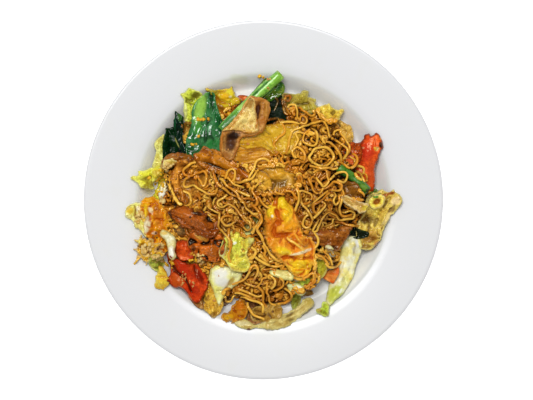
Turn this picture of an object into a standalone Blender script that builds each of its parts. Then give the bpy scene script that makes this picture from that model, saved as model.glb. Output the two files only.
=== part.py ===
"""Stir-fried instant noodles with greens, cabbage, pepper, egg and sliced meat, heaped on a round plate.

Metres, +Z up. The origin is the middle of the plate's foot ring, on the table. Seen from above, +X is the
right side of the plate and +Y its far side.
"""

import math
import random
from dataclasses import dataclass

import bmesh
import bpy
import numpy as np
from mathutils import Matrix, Vector, noise
from mathutils.bvhtree import BVHTree

MM = 0.001
GAP = 0.3 * MM  # air between neighbouring pieces

# Plate: a flat well, a short curved wall and a wide, gently rising rim
PLATE_RADIUS = 135 * MM
PLATE_SEGMENTS = 44
WELL_RADIUS = 84 * MM
WELL_HEIGHT = 6 * MM
WALL_RUN = 12 * MM
WALL_RISE = 11.5 * MM
WALL_STEPS = 4
RIM_START = 0.6  # where the rim's slope begins, as a share of the wall's run
RIM_RISE = 6 * MM
WELL_THICKNESS = 4.4 * MM
LIP_THICKNESS = 3.2 * MM
BACK_SHIFT = 0.35  # how far the underside lies outside the upper side, as a share of the thickness
FOOT_RADIUS = 75 * MM
FOOT_WIDTH = 5 * MM
FOOT_HEIGHT = 2.6 * MM

# Heap of noodles: a low dome with an uneven edge
HEAP_RADIUS = 78 * MM
HEAP_HEIGHT = 31 * MM
HEAP_EDGE = 2.2 * MM
HEAP_RINGS = 10
HEAP_SECTORS = 48
HEAP_BUMP = 1.6 * MM
HEAP_BUMP_SIZE = 13 * MM
HEAP_OVAL = 2.5 * MM
HEAP_LOBES = 1.6 * MM
DOME_POWERS = (2.4, 0.8)  # how full the dome is towards its edge, and how steeply it ends
TOPPING_SINK = 1.5 * MM  # how deep toppings press into the dome
LEAST_CORE = 1.2 * MM

# Noodles: strands lying on the core in tight waves
NOODLE_COUNT = 14
NOODLE_RADIUS = 1.05 * MM
NOODLE_SEGMENT = 2.4 * MM
NOODLE_SEGMENTS = 37
NOODLE_SHORTEST = 12
NOODLE_WAVE = (21 * MM, 29 * MM)
NOODLE_SWING = (1.2, 1.6)
NOODLE_DRIFT = 12  # radians for each metre
NOODLE_SWERVE = 0.6
NOODLE_TRIES = 120
NOODLE_DIP = 26 * MM
NOODLE_SPREAD = 5 * MM
NOODLE_SEED = 11

# Height maps of what has been laid
MAP_REACH = 136 * MM
MAP_STEP = 1 * MM
SAMPLES_PER_EDGE = 7
RELAX_STEPS = 14

# Outlines of the slices: how uneven they are, as a share of the width, and over what length in millimetres,
# then how much narrower and how much shorter at its corners a slice is at its ends
WOBBLE = 0.22
WOBBLE_SIZE = 9
END_TAPER = 0.3
END_ROUND = 0.45

# Waves along the slices' edges: how many for each millimetre, their slant and how much stays at the middle
RUFFLES = 0.11
RUFFLE_SLANT = 2.1
RUFFLE_MIDDLE = 0.25
EDGE_SLOPE = 0.3  # how far the rim's upper edge lies inwards, as a share of the thickness

COLOURS = {
    "porcelain": ((0.80, 0.80, 0.81), 0.18),
    "noodle": ((0.50, 0.23, 0.05), 0.38),
    "leaf": ((0.02, 0.17, 0.04), 0.30),
    "dark_leaf": ((0.012, 0.05, 0.015), 0.35),
    "stem": ((0.16, 0.44, 0.05), 0.30),
    "cabbage": ((0.60, 0.62, 0.10), 0.35),
    "cabbage_rib": ((0.83, 0.80, 0.50), 0.30),
    "brown_cabbage": ((0.42, 0.27, 0.06), 0.40),
    "pepper": ((0.60, 0.035, 0.012), 0.25),
    "egg": ((0.93, 0.52, 0.03), 0.45),
    "egg_white": ((0.90, 0.80, 0.45), 0.45),
    "pale_meat": ((0.68, 0.38, 0.13), 0.35),
    "brown_meat": ((0.42, 0.15, 0.03), 0.35),
}


@dataclass
class Slice:
    """A flat piece that drapes over what is below it. Lengths are in millimetres, angles in degrees.

    widths are measured at even steps along the middle line, which is an arc that turns by bend. edge is the
    thickness at the rim as a share of thickness. lift raises the long edges, hump the middle, and ruffle
    makes waves along both long edges.
    """

    name: str
    at: tuple
    heading: float
    length: float
    widths: tuple
    bend: float = 0
    material: str = ""
    thickness: float = 2.0
    edge: float = 0.6
    lift: float = 0
    hump: float = 0
    ruffle: float = 0


@dataclass
class Stalk:
    """A round stem whose thickness goes evenly from its first to its last width."""

    name: str
    at: tuple
    heading: float
    length: float
    widths: tuple
    bend: float = 0
    material: str = "stem"


@dataclass
class Roll:
    """A sheet curled round its own length. opening is the angle left open, turned to face towards."""

    name: str
    at: tuple
    heading: float
    length: float
    widths: tuple
    bend: float = 0
    material: str = ""
    thickness: float = 2.0
    height: float = 10
    opening: float = 90
    towards: float = 0
    tilt: float = 0


def leaf(name, *sizes, **more):
    return Slice(name, *sizes, **{"material": "leaf", "thickness": 1.0, "edge": 1.0, "ruffle": 1.6} | more)


def cabbage(name, *sizes, **more):
    return Slice(name, *sizes, **{"material": "cabbage", "thickness": 1.8, "ruffle": 1.4} | more)


def rib(name, *sizes, **more):
    return Slice(name, *sizes, **{"material": "cabbage_rib", "thickness": 3.2, "edge": 0.45} | more)


def pepper(name, *sizes, **more):
    return Slice(name, *sizes, **{"material": "pepper", "thickness": 3.2, "hump": 1.4} | more)


def egg(name, *sizes, **more):
    return Slice(name, *sizes, **{"material": "egg", "thickness": 4.0, "edge": 0.5, "ruffle": 1.5} | more)


def meat(name, *sizes, **more):
    return Slice(name, *sizes, **{"material": "pale_meat", "thickness": 3.0, "ruffle": 1.2} | more)


def brown_meat(name, *sizes, **more):
    return meat(name, *sizes, **{"material": "brown_meat"} | more)


# The toppings in the order in which they lie, the lowest first
PIECES = (
    cabbage("cabbage_left_edge", (-80, 37), 78, 24, (5, 7, 5), -30),
    cabbage("cabbage_left_tip", (-91, 16), 0, 20, (5, 13, 18), 8, thickness=2.4, lift=1.5),
    cabbage("cabbage_top_left", (-56, 70), -95, 28, (11, 13, 10), -5, ruffle=2.4),
    leaf("leaf_dark", (-70, 42), -85, 26, (8, 12, 16), 5, material="dark_leaf"),
    leaf("leaf_narrow", (-64, 52), -80, 31, (3, 7, 7), lift=1),
    egg("egg_top", (-31, 77), -12, 23, (6, 13, 7), 30),
    leaf("leaf_shaded", (10, 69), -85, 23, (12, 18, 18), 20, material="dark_leaf"),
    cabbage("cabbage_top_right", (29, 77), -6, 24, (8, 11, 6), -24, ruffle=2.2),
    cabbage("cabbage_top_right_small", (51, 68), -5, 18, (5, 11, 6), ruffle=2.0),
    cabbage("cabbage_right_edge", (64, 54), -67, 18, (5, 8, 5), -50),
    leaf("leaf_under_noodles", (33, 39), 25, 26, (10, 14, 10), -20, material="dark_leaf"),
    leaf("leaf_big", (-43, 56), -90, 52, (7, 19, 27, 26), 20, lift=1.5, ruffle=2.2),
    leaf("leaf_on_stem", (3, 84), -136, 26, (5, 14, 9), 6, material="dark_leaf"),
    Stalk("stem_long", (-9, 73), -137, 60, (8.0, 5.6), 10),
    pepper("pepper_right", (79, 27), -90, 43, (15, 18, 13, 7), 14, lift=1.0),
    brown_meat("meat_by_pepper", (67, 32), -92, 18, (6, 10, 8), -28),
    Stalk("stem_short", (67, 15), -39, 27, (7.0, 7.0)),
    brown_meat("meat_edge", (67, 3), -53, 16, (9, 11, 8), -30),
    cabbage("cabbage_right", (86, -13), -121, 46, (11, 18, 21, 14), 30, thickness=2.4, lift=2.5),
    egg("egg_ring", (86, 0), 28, 13, (6, 8, 6), material="egg_white", thickness=3),
    egg("egg_strand", (67, -4), -24, 18, (6, 7, 6), 34, material="egg_white", thickness=3),
    rib("cabbage_rib_long", (61, -55), -112, 54, (10, 12, 11, 6), -21, thickness=5),
    cabbage("cabbage_bit", (47, -83), -102, 12, (5, 8, 5), -16, thickness=3),
    pepper("pepper_small_right", (50, -57), -15, 11, (6, 9), thickness=4),
    cabbage("cabbage_yellow", (41, -50), -99, 19, (7, 10, 6), 40, thickness=3),
    cabbage("cabbage_under_egg", (33, -61), 16, 15, (6, 9, 6), 30),
    rib("cabbage_rib_upper", (14, -55), -16, 17, (5, 7, 7), -7),
    rib("cabbage_rib_lower", (25, -67), -13, 15, (5, 7, 7), 12),
    cabbage("cabbage_strip_bottom", (14, -90), 18, 54, (5, 7, 6, 6, 8), 40, thickness=3.4, ruffle=0.8),
    cabbage("cabbage_bottom_leaf", (1, -83), 2, 24, (7, 10, 9), 7, material="brown_cabbage"),
    egg("egg_bottom", (-21, -83), -101, 18, (8, 15, 14), -40),
    cabbage("cabbage_golden", (-42, -74), -88, 22, (8, 12, 10), 40, material="brown_cabbage"),
    rib("cabbage_rib_white", (-30, -60), -120, 29, (12, 17, 8), 50, thickness=5, ruffle=1.2),
    cabbage("cabbage_centre", (-18, -37), -91, 33, (13, 20, 17, 12), 40, thickness=2.6, ruffle=2.4, lift=1.5),
    egg("egg_left_white", (-94, -18), -66, 28, (9, 12, 9), -4, material="egg_white", thickness=3),
    egg("egg_left", (-83, -18), -80, 36, (12, 14, 13, 7), 13),
    egg("egg_low_left", (-86, -40), -60, 18, (9, 13, 9), material="egg_white", thickness=3.4),
    egg("egg_blob", (-78, -60), -93, 15, (6, 6, 8), 12),
    pepper("pepper_small_left", (-60, -36), -87, 15, (13, 12), thickness=4),
    pepper("pepper_big", (-58, -57), -60, 42, (14, 24, 22, 9), -40, hump=2.2),
    rib("cabbage_white_left", (-74, 7), -107, 15, (6, 8, 5), 24),
    rib("cabbage_white_low", (-71, -31), -71, 19, (7, 8, 4), -8),
    Roll("meat_arch", (-62, 30), 5, 22, (7, 9, 8), -30, "brown_meat", 1.9, 6, opening=170, towards=-90),
    brown_meat("meat_under_loops", (-66, 8), -84, 30, (10, 12, 11, 8), 50),
    brown_meat("meat_lower", (-44, -32), -13, 25, (10, 17, 16), 40),
    brown_meat("meat_rust", (-52, -13), -28, 41, (8, 15, 14, 8), -55, thickness=3.6, hump=1.5),
    brown_meat("meat_right", (47, -28), 0, 32, (6, 11, 8), 40),
    meat("meat_low", (8, 14), 20, 29, (12, 19, 18), -20),
    meat("meat_mid", (-10, 33), 0, 28, (9, 13, 10)),
    meat("meat_pale", (4, 45), 4, 44, (9, 14, 21, 13), 8, ruffle=1.8),
    brown_meat("meat_long", (-30, 26), -23, 45, (11, 15, 14, 8), -40, thickness=3.6),
    Roll("meat_folded", (-12, 55), 53, 47, (14, 21, 23, 15), 25, "pale_meat", 2.2, 10, opening=95),
    egg("egg_centre", (18, -27), -74, 62, (13, 22, 25, 26, 13), 4, thickness=5, hump=2.5, ruffle=2.2),
)


def clear_scene():
    for obj in list(bpy.data.objects):
        bpy.data.objects.remove(obj)


def material_named(name):
    """The material of that kind of food, made the first time that it is asked for."""
    if name in bpy.data.materials:
        return bpy.data.materials[name]
    colour, roughness = COLOURS[name]
    material = bpy.data.materials.new(name)
    material.use_nodes = True
    shader = material.node_tree.nodes["Principled BSDF"]
    shader.inputs["Base Color"].default_value = (*colour, 1)
    shader.inputs["Roughness"].default_value = roughness
    shader.inputs["Metallic"].default_value = 0
    return material


def add_object(name, data, material):
    obj = bpy.data.objects.new(name, data)
    data.materials.append(material_named(material))
    bpy.context.scene.collection.objects.link(obj)
    return obj


def add_bmesh(name, bm, material):
    bmesh.ops.recalc_face_normals(bm, faces=bm.faces[:])
    mesh = bpy.data.meshes.new(name)
    bm.to_mesh(mesh)
    bm.free()
    mesh.shade_smooth()
    mesh.set_sharp_from_angle(angle=math.radians(50))
    return add_object(name, mesh, material)


def widened(grid, higher):
    """The height map with every height spread to the cells beside it."""
    result = grid.copy()
    for dx in (-1, 0, 1):
        for dy in (-1, 0, 1):
            result = higher(result, np.roll(grid, (dx, dy), (0, 1)))
    return result


class HeightMaps:
    """What has been laid: its top, and the underside of the toppings, on one square grid."""

    def __init__(self, start_height):
        count = round(2 * MAP_REACH / MAP_STEP) + 1
        self.ticks = np.linspace(-MAP_REACH, MAP_REACH, count)
        self.top = np.array([[start_height(x, y) for y in self.ticks] for x in self.ticks])
        self.under = np.full((count, count), np.inf)

    def lay(self, tree, low, high, topping=True):
        """Adds a piece, whose bounding box goes from low to high, by rays cast at it from both sides."""
        first = [max(0, int((value + MAP_REACH) / MAP_STEP)) for value in low]
        last = [min(len(self.ticks), int((value + MAP_REACH) / MAP_STEP) + 2) for value in high]
        for i in range(first[0], last[0]):
            for j in range(first[1], last[1]):
                x, y = self.ticks[i], self.ticks[j]
                above = tree.ray_cast(Vector((x, y, 1)), Vector((0, 0, -1)))[0]
                if above is None:
                    continue
                self.top[i, j] = max(self.top[i, j], above.z)
                if topping:
                    below = tree.ray_cast(Vector((x, y, -1)), Vector((0, 0, 1)))[0]
                    self.under[i, j] = min(self.under[i, j], below.z)

    def cells(self, xy):
        return np.clip(np.rint((xy + MAP_REACH) / MAP_STEP).astype(int), 0, len(self.ticks) - 1)

    def read(self, grid, xy):
        cells = self.cells(xy)
        return grid[cells[..., 0], cells[..., 1]]


def triangle_weights():
    """Barycentric weights of evenly spread points in a triangle, its corners and edges included."""
    count = SAMPLES_PER_EDGE
    steps = [(i, j, count - i - j) for i in range(count + 1) for j in range(count + 1 - i)]
    return np.array(steps) / count


def shortfall(xy, heights, triangles, floor_at):
    """For each corner, how far the sheet round it lies below floor_at at worst."""
    worst = np.full(len(heights), -np.inf)
    for weights in triangle_weights():
        place = np.einsum("k,tkc->tc", weights, xy[triangles])
        height = heights[triangles] @ weights
        short = floor_at(place) - height
        for corner in range(3):
            np.maximum.at(worst, triangles[:, corner], short)
    return worst


def smooth_step(t):
    t = min(max(t, 0.0), 1.0)
    return t * t * (3 - 2 * t)


# Plate


def plate_top(radius):
    wall = smooth_step((radius - WELL_RADIUS) / WALL_RUN)
    rim_start = WELL_RADIUS + RIM_START * WALL_RUN
    rim = max(0.0, radius - rim_start) / (PLATE_RADIUS - rim_start)
    return WELL_HEIGHT + WALL_RISE * wall + RIM_RISE * rim


def plate_profile():
    """Half of the plate's section: over the top from the middle to the lip, and back underneath."""
    wall = [WELL_RADIUS + WALL_RUN * step / WALL_STEPS for step in range(WALL_STEPS + 1)]
    lip = LIP_THICKNESS / 2
    top = [(radius, plate_top(radius)) for radius in (0, *wall, PLATE_RADIUS - lip)]
    lip_height = top[-1][1] - lip
    turns = (0.8, 0, -0.8)
    edge = [(PLATE_RADIUS + lip * (math.cos(a) - 1), lip_height + lip * math.sin(a)) for a in turns]
    back = []
    for radius in (PLATE_RADIUS - 3 * LIP_THICKNESS, wall[-1], wall[-2], wall[1]):
        share = smooth_step((radius - WELL_RADIUS) / (PLATE_RADIUS - WELL_RADIUS))
        thickness = WELL_THICKNESS + share * (LIP_THICKNESS - WELL_THICKNESS)
        back.append((radius + BACK_SHIFT * thickness, plate_top(radius) - thickness))
    outer, inner = FOOT_RADIUS + FOOT_WIDTH / 2, FOOT_RADIUS - FOOT_WIDTH / 2
    base = WELL_HEIGHT - WELL_THICKNESS
    spread = FOOT_HEIGHT / 2
    foot = [(outer + spread, base), (outer, 0), (inner, 0), (inner - spread, base), (0, base)]
    return top + edge + back + foot


def plate_body():
    bm = bmesh.new()
    points = [bm.verts.new((radius, 0, height)) for radius, height in plate_profile()]
    edges = [bm.edges.new(pair) for pair in zip(points, points[1:])]
    turn = {"cent": (0, 0, 0), "axis": (0, 0, 1), "angle": math.tau, "steps": PLATE_SEGMENTS}
    bmesh.ops.spin(bm, geom=points + edges, use_merge=True, **turn)
    bmesh.ops.remove_doubles(bm, verts=bm.verts[:], dist=0.01 * MM)
    bmesh.ops.recalc_face_normals(bm, faces=bm.faces[:])
    return bm


# Toppings


def middle_line(piece, share):
    """Place and heading at a share, from -0.5 to 0.5, of the way along the piece's arc."""
    heading = math.radians(piece.heading)
    bend = math.radians(piece.bend)
    along = share * piece.length
    half_turn = share * bend / 2
    if abs(half_turn) > 1e-6:
        along *= math.sin(half_turn) / half_turn
    direction = heading + half_turn
    x = piece.at[0] + along * math.cos(direction)
    y = piece.at[1] + along * math.sin(direction)
    return x, y, heading + share * bend


def width_at(piece, share):
    return float(np.interp(share + 0.5, np.linspace(0, 1, len(piece.widths)), piece.widths))


def grid_of(piece):
    """A triangulated grid with (-1..1, -1..1) as its corners' places, fine enough for the piece's size."""
    along = min(9, max(3, round(piece.length / 5.5)))
    across = min(5, max(2, round(max(piece.widths) / 4.5)))
    bm = bmesh.new()
    bmesh.ops.create_grid(bm, x_segments=along, y_segments=across, size=1)
    bmesh.ops.triangulate(bm, faces=bm.faces[:], quad_method="ALTERNATE")
    bm.verts.index_update()
    return bm


def neighbours_of(bm):
    return [[edge.other_vert(vert).index for edge in vert.link_edges] for vert in bm.verts]


def slice_plan(piece, shares, seed):
    """Places in plan of a slice's corners, with rounded ends and an uneven outline."""
    plan = []
    for u, v in shares:
        end = abs(u)
        half = width_at(piece, u / 2) / 2 * (1 - END_TAPER * end**6)
        pull = END_ROUND * half * v * v * end**3 / piece.length
        x, y, heading = middle_line(piece, u / 2 * (1 - 2 * pull))
        x -= half * v * math.sin(heading)
        y += half * v * math.cos(heading)
        amount = WOBBLE * half * max(abs(v), end)
        x += amount * noise.noise(Vector((x, y, 9 * seed)) / WOBBLE_SIZE)
        y += amount * noise.noise(Vector((x, y, 9 * seed + 90)) / WOBBLE_SIZE)
        plan.append((x, y))
    return np.array(plan) * MM


def slice_relief(piece, shares, seed):
    """How far each corner is raised above the lie of the slice."""
    relief = []
    for u, v in shares:
        along = u * piece.length / 2
        wave = 0.5 + 0.5 * math.sin(math.tau * RUFFLES * along + RUFFLE_SLANT * v + seed)
        height = piece.lift * v * v + piece.hump * (1 - v * v) * (1 - 0.5 * u * u)
        relief.append(height + piece.ruffle * wave * (RUFFLE_MIDDLE + (1 - RUFFLE_MIDDLE) * abs(v)))
    return np.array(relief) * MM


def draped(xy, triangles, neighbours, maps):
    """Heights at which a slice rests on what has been laid, bridging its smaller hollows."""
    floor = widened(maps.top, np.maximum) + GAP
    lowest = maps.read(floor, xy)
    heights = lowest.copy()
    for _ in range(RELAX_STEPS):
        around = np.array([heights[near].mean() for near in neighbours])
        heights = np.maximum(lowest, around)
    short = shortfall(xy, heights, triangles, lambda place: maps.read(floor, place))
    return heights + np.maximum(short, 0)


def thicken(bm, offsets):
    """Closes an open sheet to a solid whose other face lies at the given offsets from it."""
    sheet = bm.verts[:]
    made = bmesh.ops.extrude_face_region(bm, geom=bm.faces[:])["geom"]
    copies = [item for item in made if isinstance(item, bmesh.types.BMVert)]
    by_place = {tuple(vert.co): vert for vert in copies}
    for vert, offset in zip(sheet, offsets):
        by_place[tuple(vert.co)].co += Vector(offset)


def slice_body(piece, maps, seed):
    bm = grid_of(piece)
    shares = [(vert.co.x, vert.co.y) for vert in bm.verts]
    triangles = np.array([[vert.index for vert in face.verts] for face in bm.faces])
    xy = slice_plan(piece, shares, seed)
    heights = draped(xy, triangles, neighbours_of(bm), maps) + slice_relief(piece, shares, seed)
    offsets = []
    for vert, (u, v), place, height in zip(bm.verts, shares, xy, heights):
        vert.co = (*place, height)
        rim = max(abs(u), abs(v))
        thickness = piece.thickness * (piece.edge + (1 - piece.edge) * (1 - rim**3))
        inward = Vector((*(np.array(piece.at) * MM - place), 0)).normalized()
        offsets.append(inward * EDGE_SLOPE * thickness * MM * (rim > 0.99) + Vector((0, 0, thickness * MM)))
    thicken(bm, offsets)
    bmesh.ops.recalc_face_normals(bm, faces=bm.faces[:])
    return bm


def roll_sheet(piece, shares):
    """Outer corners of a curled sheet that lies along its heading, and the way in from each of them."""
    corners, inwards = [], []
    sweep = math.radians(360 - piece.opening)
    tilt = math.radians(piece.tilt)
    for u, v in shares:
        x, y, heading = middle_line(piece, u / 2)
        half = width_at(piece, u / 2) / 2
        rise = piece.height / 2 * (half * 2 / max(piece.widths)) ** 0.5
        angle = math.radians(piece.towards + 180) + v * sweep / 2
        side = Vector((math.sin(heading), -math.cos(heading), 0))
        radial = side * math.cos(angle) * half + Vector((0, 0, math.sin(angle) * rise))
        centre = Vector((x, y, rise + u / 2 * piece.length * math.tan(tilt)))
        corners.append((centre + radial) * MM)
        inwards.append(-radial.normalized() * piece.thickness * MM)
    return corners, inwards


def roll_body(piece, maps):
    bm = bmesh.new()
    along = max(3, round(piece.length / 6))
    bmesh.ops.create_grid(bm, x_segments=along, y_segments=9, size=1)
    bmesh.ops.triangulate(bm, faces=bm.faces[:])
    bm.verts.index_update()
    shares = [(vert.co.x, vert.co.y) for vert in bm.verts]
    triangles = np.array([[vert.index for vert in face.verts] for face in bm.faces])
    corners, inwards = roll_sheet(piece, shares)
    floor = widened(maps.top, np.maximum) + GAP
    outer = np.array([tuple(corner) for corner in corners])
    short = shortfall(outer[:, :2], outer[:, 2], triangles, lambda place: maps.read(floor, place))
    for vert, corner in zip(bm.verts, corners):
        vert.co = corner + Vector((0, 0, short.max()))
    thicken(bm, inwards)
    bmesh.ops.recalc_face_normals(bm, faces=bm.faces[:])
    return bm


def stalk_body(piece, maps):
    """A tube of eight sides, bent along the piece's arc and laid on the highest points beneath it."""
    count = round(piece.length / 6)
    sides = 8
    floor = widened(widened(maps.top, np.maximum), np.maximum) + GAP
    centres = []
    for step in range(count + 1):
        share = step / count - 0.5
        x, y, heading = middle_line(piece, share)
        radius = width_at(piece, share) / 2 * MM
        reach = np.linspace(-1, 1, 9)
        along = np.array((math.cos(heading), math.sin(heading))) * piece.length / count * MM
        across = np.array((-math.sin(heading), math.cos(heading))) * radius
        near = np.array([[x, y]]) * MM + np.array([a * along + b * across for a in reach for b in reach])
        centres.append([x * MM, y * MM, maps.read(floor, near).max() + radius, heading, radius])
    heights = np.array([centre[2] for centre in centres])
    for _ in range(RELAX_STEPS):
        around = (np.append(heights[1:], heights[-1]) + np.append(heights[0], heights[:-1])) / 2
        heights = np.maximum(heights, around)
    bm = bmesh.new()
    rings = []
    for (x, y, _, heading, radius), height in zip(centres, heights):
        turn = Matrix.Rotation(heading, 4, "Z") @ Matrix.Rotation(math.pi / 2, 4, "Y")
        place = Matrix.Translation((x, y, height)) @ turn
        ring = bmesh.ops.create_circle(bm, segments=sides, radius=radius, matrix=place)["verts"]
        rings.append([bm.edges.get((ring[k], ring[(k + 1) % sides])) for k in range(sides)])
    for ring, following in zip(rings, rings[1:]):
        bmesh.ops.bridge_loops(bm, edges=ring + following)
    bmesh.ops.edgeloop_fill(bm, edges=rings[0])
    bmesh.ops.edgeloop_fill(bm, edges=rings[-1])
    bmesh.ops.recalc_face_normals(bm, faces=bm.faces[:])
    return bm


def lay_piece(name, bm, material, maps, topping=True):
    """Puts a finished solid in the scene and on the height maps."""
    places = np.array([tuple(vert.co) for vert in bm.verts])
    maps.lay(BVHTree.FromBMesh(bm), places.min(axis=0)[:2], places.max(axis=0)[:2], topping)
    return add_bmesh(name, bm, material)


# Noodles


def heap_reach(angle):
    """Radius of the heap's edge, which is wider to the upper right and lower left."""
    oval = HEAP_OVAL * math.cos(2 * angle - 1.0)
    lobes = HEAP_LOBES * math.cos(5 * angle + 0.6)
    return HEAP_RADIUS + oval + lobes


def heap_height(x, y):
    """Height of the bare dome above the well, with bumps of a few noodles' width."""
    share = math.hypot(x, y) / heap_reach(math.atan2(y, x))
    if share >= 1:
        return HEAP_EDGE
    dome = (1 - share ** DOME_POWERS[0]) ** DOME_POWERS[1]
    bump = noise.noise(Vector((x, y, 0)) / HEAP_BUMP_SIZE)
    return HEAP_EDGE + (HEAP_HEIGHT - HEAP_EDGE) * dome + HEAP_BUMP * bump * min(1.0, 3 * dome)


def heap_under_toppings(x, y):
    if math.hypot(x, y) > heap_reach(math.atan2(y, x)):
        return 0.0
    return WELL_HEIGHT + max(0.0, heap_height(x, y) - TOPPING_SINK)


def core_body(maps):
    """The heap without its strands: a low dome, pressed down wherever a topping lies on it."""
    bm = bmesh.new()
    middle = bm.verts.new((0, 0, 0))
    rings = []
    for ring in range(1, HEAP_RINGS + 1):
        share = (ring / HEAP_RINGS) ** 0.85
        angles = [math.tau * (sector + 0.5 * (ring % 2)) / HEAP_SECTORS for sector in range(HEAP_SECTORS)]
        reaches = [share * heap_reach(angle) for angle in angles]
        rings.append([bm.verts.new((r * math.cos(a), r * math.sin(a), 0)) for r, a in zip(reaches, angles)])
    for sector in range(HEAP_SECTORS):
        after = (sector + 1) % HEAP_SECTORS
        bm.faces.new((middle, rings[0][sector], rings[0][after]))
    for ring, (inner, outer) in enumerate(zip(rings, rings[1:])):
        for sector in range(HEAP_SECTORS):
            after = (sector + 1) % HEAP_SECTORS
            if ring % 2:
                bm.faces.new((inner[sector], outer[sector], outer[after]))
                bm.faces.new((inner[sector], outer[after], inner[after]))
            else:
                bm.faces.new((inner[sector], outer[sector], inner[after]))
                bm.faces.new((outer[sector], outer[after], inner[after]))
    bm.verts.index_update()
    xy = np.array([tuple(vert.co)[:2] for vert in bm.verts])
    triangles = np.array([[vert.index for vert in face.verts] for face in bm.faces])
    bottom = WELL_HEIGHT + GAP
    heights = WELL_HEIGHT + np.array([heap_height(x, y) for x, y in xy])
    ceiling = widened(maps.under, np.minimum) - GAP
    excess = shortfall(xy, -heights, triangles, lambda place: -maps.read(ceiling, place))
    heights = np.maximum(heights - np.maximum(excess, 0), bottom + LEAST_CORE)
    for vert, height in zip(bm.verts, heights):
        vert.co.z = height
    made = bmesh.ops.extrude_edge_only(bm, edges=[edge for edge in bm.edges if edge.is_boundary])["geom"]
    for item in made:
        if isinstance(item, bmesh.types.BMVert):
            item.co.z = bottom
    bmesh.ops.edgeloop_fill(bm, edges=[item for item in made if isinstance(item, bmesh.types.BMEdge)])
    bmesh.ops.recalc_face_normals(bm, faces=bm.faces[:])
    return bm


class StrandLayer:
    """Lays strands one at a time where they cover the most bare heap."""

    def __init__(self, maps, core_top):
        self.maps = maps
        self.core_top = core_top
        self.draw = random.Random(NOODLE_SEED)
        margin = maps.under
        for _ in range(3):
            margin = widened(margin, np.minimum)
        self.taken = np.isfinite(margin)
        self.strands = np.zeros(maps.top.shape)

    def height(self, x, y):
        cells = self.maps.cells(np.array((x, y)))
        return self.core_top[cells[0], cells[1]]

    def blocked(self, x, y):
        if math.hypot(x, y) > heap_reach(math.atan2(y, x)) + 1.5 * MM:
            return True
        cells = self.maps.cells(np.array((x, y)))
        return bool(self.taken[cells[0], cells[1]])

    def candidate(self):
        """A wavy path from a random place, as far as it stays on bare heap."""
        radius = heap_reach(0) * math.sqrt(self.draw.random())
        angle = self.draw.uniform(0, math.tau)
        x, y = radius * math.cos(angle), radius * math.sin(angle)
        heading = self.draw.uniform(0, math.tau)
        drift = self.draw.uniform(-NOODLE_DRIFT, NOODLE_DRIFT) * NOODLE_SEGMENT
        wave = self.draw.uniform(*NOODLE_WAVE)
        swing = self.draw.uniform(*NOODLE_SWING)
        path = []
        while not self.blocked(x, y) and len(path) <= NOODLE_SEGMENTS:
            path.append((x, y))
            heading += drift
            phase = math.tau * len(path) * NOODLE_SEGMENT / wave
            for swerve in (0, NOODLE_SWERVE, -NOODLE_SWERVE):
                turn = heading + swerve + swing * math.sin(phase)
                x = path[-1][0] + NOODLE_SEGMENT * math.cos(turn)
                y = path[-1][1] + NOODLE_SEGMENT * math.sin(turn)
                if not self.blocked(x, y):
                    heading += swerve
                    break
        return path

    def bare_length(self, path):
        """How much of the path lies apart from the strands laid before."""
        if len(path) < NOODLE_SHORTEST:
            return 0
        cells = self.maps.cells(np.array(path))
        return float((self.strands[cells[:, 0], cells[:, 1]] == 0).sum())

    def next_path(self):
        tries = [self.candidate() for _ in range(NOODLE_TRIES)]
        best = max(tries, key=self.bare_length)
        reach = round(NOODLE_SPREAD / MAP_STEP)
        for i, j in self.maps.cells(np.array(best)):
            self.strands[i - reach : i + reach + 1, j - reach : j + reach + 1] = 1
        return best

    def raised(self, path):
        """The path in space: it skims the core and dips into it at its ends and now and then between."""
        last = len(path) - 1
        points = []
        for step, (x, y) in enumerate(path):
            from_end = min(step, last - step) * NOODLE_SEGMENT
            dip = max(0.0, 1 - from_end / (1.5 * NOODLE_SEGMENT))
            wave = 0.5 - 0.5 * math.cos(math.tau * (step * NOODLE_SEGMENT / NOODLE_DIP + 0.5))
            height = self.height(x, y) + NOODLE_RADIUS * (0.5 + 1.2 * wave - 1.7 * dip)
            points.append((x, y, max(height, self.floor(x, y) + NOODLE_RADIUS + GAP)))
        return points

    def floor(self, x, y):
        return plate_top(math.hypot(x, y))


def add_strand(points, collection):
    """One noodle as a thin four-sided tube with closed ends."""
    curve = bpy.data.curves.new("strand", "CURVE")
    curve.dimensions = "3D"
    curve.bevel_depth = NOODLE_RADIUS
    curve.bevel_resolution = 0
    curve.use_fill_caps = True
    spline = curve.splines.new("POLY")
    spline.points.add(len(points) - 1)
    for point, place in zip(spline.points, points):
        point.co = (*place, 1)
    guide = bpy.data.objects.new("strand_path", curve)
    mesh = bpy.data.meshes.new_from_object(guide)
    bpy.data.objects.remove(guide)
    collection.objects.link(bpy.data.objects.new("strand", mesh))


def largest_body(bm):
    """Removes loose scraps and sealed hollows, which are bodies apart from the largest one."""
    unseen = set(bm.verts)
    bodies = []
    while unseen:
        body, edge = set(), {unseen.pop()}
        while edge:
            body |= edge
            edge = {link.other_vert(vert) for vert in edge for link in vert.link_edges} - body
        unseen -= body
        bodies.append(body)
    largest = max(bodies, key=len)
    spare = [vert for body in bodies if body is not largest for vert in body]
    bmesh.ops.delete(bm, geom=spare, context="VERTS")


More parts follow.
